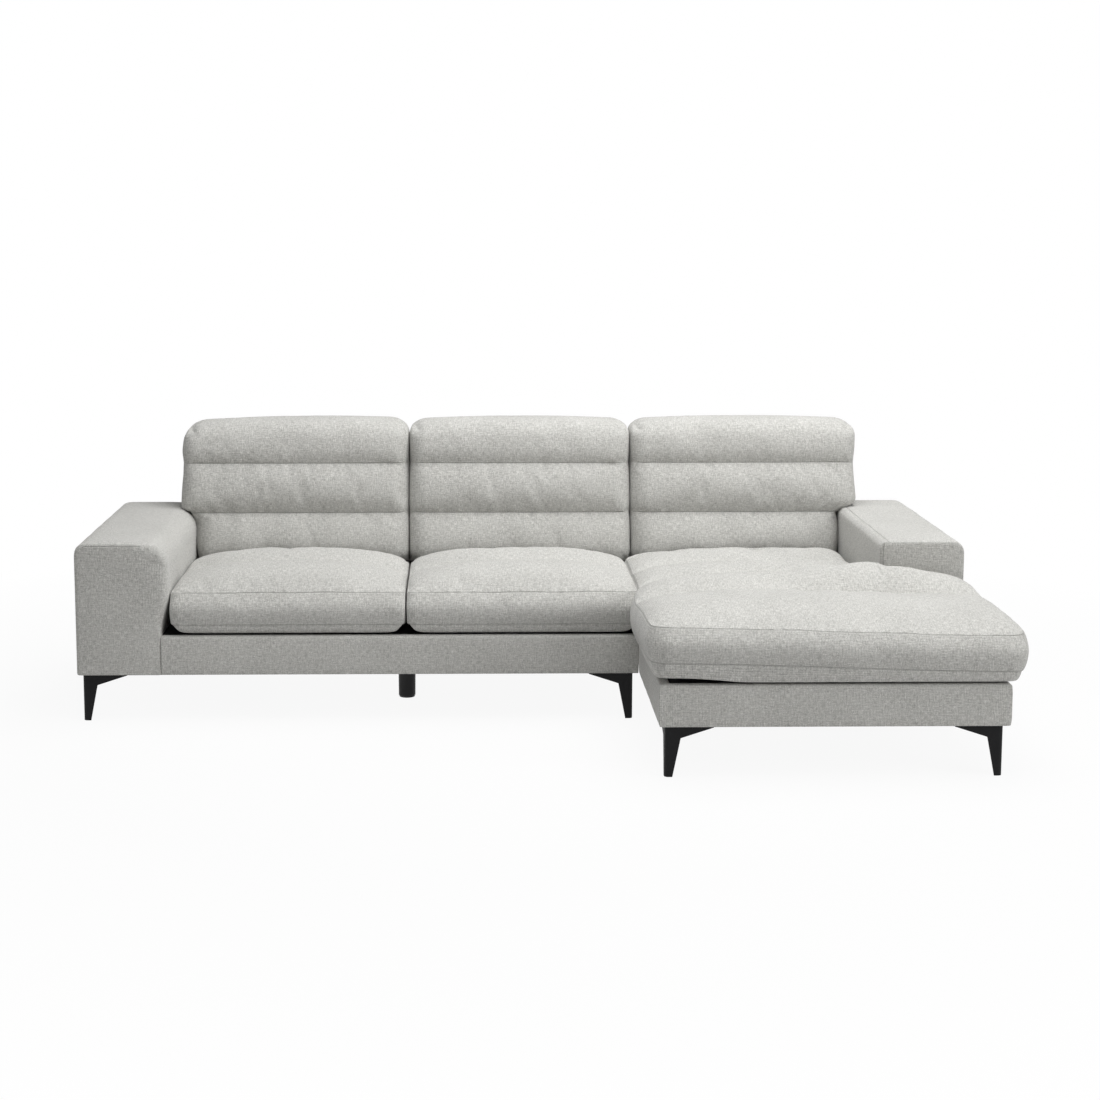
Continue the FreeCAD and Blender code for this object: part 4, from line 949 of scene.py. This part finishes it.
def dress_band(piece, body, nodes, faces):
    """Cuts a band finely, rounds its long edges and pads its faces. A face is given by its axis,
    its place and the way in from it."""
    points = points_of(piece)
    low, high = points.min(axis=0), points.max(axis=0)
    for axis, step in ((0, 0.03), (1, 0.03), (2, cloth_step)):
        cut_at(piece, axis, spread(low[axis], high[axis], step, near=band_cuts))
    flat = points_of(piece)
    points = flat.copy()
    top, bottom = high[2], low[2]
    for axis, face, inward in faces:
        points = rounded(points, axis, 2, (face, top), (-inward, 1), 0.009)
        points = rounded(points, axis, 2, (face, bottom), (-inward, -1), 0.006)
    ring = smooth((flat[:, 2] - bottom) / 0.03) * smooth((top - flat[:, 2]) / 0.03)
    for axis, face, inward in faces:
        on = np.abs(flat[:, axis] - face) < touch
        points[:, axis] -= inward * on * (0.002 * ring + 0.0006 * grain(flat, 0.12, 11))
    lay_cloth(piece, points, flat)
    note(piece, "seam", np.full(len(flat), no_seam))
    finish_pad(piece, body, nodes)


def two_seat_band():
    """The padded band along the front of the seats, turned over onto the rail."""
    low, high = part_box("two_seat_front_cover")
    piece = block("two_seat_front_band", (low.x, low.y, base_bottom),
                  (high.x, low.y + cover_depth, base_top))
    cut_at(piece, 2, [rail_top])
    pull(piece, lambda c, n: n.y > 0.9 and c.z > rail_top, (0.0, cover_return, 0.0))
    dress_band(piece, "two_seat_section", ["two_seat_front_cover"], [(1, low.y, 1.0)])


two_seat_band()


def chaise_band():
    """The band round the front of the chaise, with rounded upright corners."""
    low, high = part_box("chaise_front_cover")
    left, right, front = low.x + cover_depth, high.x - cover_depth, low.y + cover_depth
    side_start = front + cover_return / 2.0
    piece = block("chaise_front_band", (low.x, low.y, base_bottom), (high.x, front, base_top))
    cut_at(piece, 0, [left, right])
    pull(piece, lambda c, n: n.y > 0.9 and (c.x < left or c.x > right),
         (0.0, high.y - low.y - cover_depth, 0.0))
    cut_at(piece, 2, [rail_top])
    pull(piece, lambda c, n: n.y > 0.9 and c.z > rail_top and abs(c.y - front) < 1e-4,
         (0.0, cover_return, 0.0))
    for way, inner in ((1.0, left), (-1.0, right)):
        pull(piece, lambda c, n: n.x * way > 0.9 and c.z > rail_top
             and abs(c.x - inner) < 1e-4 and c.y > side_start, (way * cover_return, 0.0, 0.0))
    dress_band(piece, "chaise_section", ["chaise_front_cover"],
               [(1, low.y, 1.0), (0, low.x, 1.0), (0, high.x, -1.0)])


chaise_band()


def rear_cover(section):
    """The cover of the rear and of the low wall, drawn over the wall and down its front."""
    node = section + "_rear_cover"
    low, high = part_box(node)
    piece = block(section + "_rear_band", (low.x, high.y - cover_depth, base_bottom),
                  (high.x, high.y, high.z))
    cut_at(piece, 2, [rail_top])
    pull(piece, lambda c, n: n.y < -0.9 and c.z > rail_top,
         (0.0, low.y + cover_depth - high.y, 0.0))
    dress_band(piece, section + "_section", [node], [(1, high.y, -1.0), (1, low.y, 1.0)])


rear_cover("two_seat")
rear_cover("chaise")


# Linings

def middle_of(low, high):
    return (low.x + high.x) / 2.0, (low.y + high.y) / 2.0


def lining_sheet(name, body, node, gaps):
    """A flat sheet of lining in the place of its node, cut open where gaps are."""
    low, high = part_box(node)
    free_hands()
    bpy.ops.mesh.primitive_plane_add(size=1.0, location=(*middle_of(low, high), low.z))
    piece = bpy.context.object
    piece.name = piece.data.name = name
    piece.scale = (high.x - low.x, high.y - low.y, 1.0)
    settle(piece)
    edges_x = sorted({g for gap in gaps for g in gap[:2]})
    edges_y = sorted({g for gap in gaps for g in gap[2:]})
    cut_at(piece, 0, spread(low.x, high.x, 0.06, fixed=edges_x, near=(0.002,)))
    cut_at(piece, 1, spread(low.y, high.y, 0.06, fixed=edges_y, near=(0.002,)))
    remove_faces(piece, lambda c, n: any(g[0] < c.x < g[1] and g[2] < c.y < g[3] for g in gaps))
    apply_modifier(piece, "SOLIDIFY", thickness=high.z - low.z, offset=1.0)
    apply_modifier(piece, "SUBSURF", levels=1, render_levels=1,
                   boundary_smooth="PRESERVE_CORNERS")
    take(piece)
    bpy.ops.object.shade_smooth_by_angle(angle=0.6)
    dress(piece, lining, body, [node])


def leg_gaps(section, low, high):
    """The corners of a dust cover that stay open for the legs."""
    gaps = []
    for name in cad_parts:
        if name.startswith(section + "_leg"):
            near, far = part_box(name)
            gap = []
            for k in range(2):
                gap.append(low[k] - 0.01 if near[k] - low[k] < 0.06 else near[k] - 0.003)
                gap.append(high[k] + 0.01 if high[k] - far[k] < 0.06 else far[k] + 0.003)
            gaps.append(gap)
    return gaps


def prong_gaps(*brackets):
    """The slots in a deck cloth where the bracket prongs come through."""
    gaps = []
    for node in brackets:
        near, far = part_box(node)
        middle, _ = middle_of(near, far)
        for x in (middle - 0.11, middle + 0.11):
            gaps.append((x - 0.023, x + 0.023, near.y - 0.003, near.y + 0.009))
    return gaps


for section in ("two_seat", "chaise"):
    node = section + "_dust_cover"
    lining_sheet(section + "_dust_sheet", section + "_section", node,
                 leg_gaps(section, *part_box(node)))

deck_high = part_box("chaise_deck_cloth")[1]
beside_arm = (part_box("right_arm_cover")[0].x, deck_high.x + 0.01, y_seat, deck_high.y + 0.01)
lining_sheet("two_seat_deck_sheet", "two_seat_section", "two_seat_deck_cloth",
             prong_gaps("left_back_bracket", "middle_back_bracket"))
lining_sheet("chaise_deck_sheet", "chaise_section", "chaise_deck_cloth",
             prong_gaps("right_back_bracket") + [beside_arm])


def middle_foot():
    """The round plastic foot under the two-seat section: a collar, a drawn-in post and a glide."""
    low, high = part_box("support_foot")
    tall = high.z - low.z
    centre = np.array(middle_of(low, high))
    free_hands()
    bpy.ops.mesh.primitive_cylinder_add(vertices=72, radius=(high.x - low.x) / 2.0, depth=tall,
                                        location=(*centre, tall / 2.0))
    piece = bpy.context.object
    piece.name = piece.data.name = "middle_foot"
    settle(piece)
    cut_at(piece, 2, (0.0045, 0.0055, 0.0075, tall - 0.012, tall - 0.010))
    points = points_of(piece)
    z = points[:, 2]
    slim = np.where(z < 0.005, 0.0030, 0.0)
    slim = np.where((z > 0.005) & (z < 0.007), 0.0008, slim)
    slim = np.where((z > 0.007) & (z < tall - 0.011), 0.0012 * (1.0 - z / tall), slim)
    spoke = points[:, :2] - centre
    points[:, :2] -= spoke / np.linalg.norm(spoke, axis=1)[:, None] * slim[:, None]
    move_points(piece, points)
    apply_modifier(piece, "BEVEL", width=0.0009, segments=2, limit_method="ANGLE",
                   angle_limit=0.6)
    take(piece)
    bpy.ops.object.shade_smooth_by_angle(angle=0.6)
    dress(piece, plastic, "two_seat_section", ["support_foot"])


middle_foot()


# Camera, floor and light

def put_in_scene(name, data):
    holder = bpy.data.objects.new(name, data)
    bpy.context.scene.collection.objects.link(holder)
    return holder


def camera():
    """The camera that was fitted to the photo."""
    data = bpy.data.cameras.new("camera")
    eye = put_in_scene("camera", data)
    eye.location = (-0.193, -6.203, 1.648)
    eye.rotation_euler = (math.pi / 2.0 - 0.1335, 0.0, -0.0156)
    data.lens = 63.72
    data.sensor_width = 36.0
    data.shift_x = 0.0525
    data.shift_y = -0.080
    data.clip_end = 60.0
    bpy.context.scene.camera = eye


def studio_floor():
    """A pale floor that looks white to the camera, apart from a faint shadow near the sofa."""
    floor_grey = 0.66
    nearly_white = 0.93
    shadow_reach = 1.6
    free_hands()
    bpy.ops.mesh.primitive_plane_add(size=30.0, location=(0.0, 0.0, 0.0))
    floor = bpy.context.object
    floor.name = "studio_floor"
    finish = Finish("studio_white")
    path = finish.add("ShaderNodeLightPath")
    seen, mirrored, through = (Value(finish, path.outputs[f"Is {kind} Ray"])
                               for kind in ("Camera", "Glossy", "Transmission"))
    pale = finish.add("ShaderNodeBsdfDiffuse", inputs={"Color": (floor_grey,) * 3})
    white = finish.add("ShaderNodeEmission", inputs={"Color": (1.0, 1.0, 1.0), "Strength": 1.0})
    _, (x, y, z) = finish.places()
    away = ((x * x + y * y) ** 0.5 - shadow_reach) / shadow_reach
    clear = nearly_white + away.clipped() * (1.0 - nearly_white)
    mix = finish.add("ShaderNodeMixShader", inputs={
        0: (seen + mirrored + through).clipped() * clear, 1: pale.outputs[0], 2: white.outputs[0]})
    floor.data.materials.append(finish.show(mix))


def studio_sky():
    """A dim even light from all round, which is white where the camera sees it."""
    finish = Finish("studio", bpy.data.worlds, "ShaderNodeOutputWorld")
    dim, bright = (finish.add("ShaderNodeBackground", inputs={
        "Color": (1.0, 1.0, 1.0), "Strength": strength}).outputs[0] for strength in (0.167, 1.0))
    seen = finish.add("ShaderNodeLightPath").outputs["Is Camera Ray"]
    mix = finish.add("ShaderNodeMixShader", inputs={0: seen, 1: dim, 2: bright})
    bpy.context.scene.world = finish.show(mix)


def lamp(name, place, target, size, power):
    """A rectangular lamp that is aimed at a point."""
    data = bpy.data.lights.new(name, "AREA")
    data.shape = "RECTANGLE"
    data.size, data.size_y = size
    data.energy = power
    holder = put_in_scene(name, data)
    holder.location = place
    aim = Vector(target) - Vector(place)
    holder.rotation_euler = aim.to_track_quat("-Z", "Y").to_euler()


camera()
studio_floor()
studio_sky()
lamp("overhead", (0.8, -0.20, 4.2), (0.2, 0.1, 0.4), (4.5, 3.5), 219.0)
lamp("right_side", (5.0, -3.2, 2.6), (0.2, 0.0, 0.5), (2.6, 2.6), 110.0)
lamp("left_side", (-4.6, -1.2, 2.2), (0.9, -0.2, 0.4), (2.6, 2.6), 20.0)
bpy.context.scene.view_settings.view_transform = "Standard"
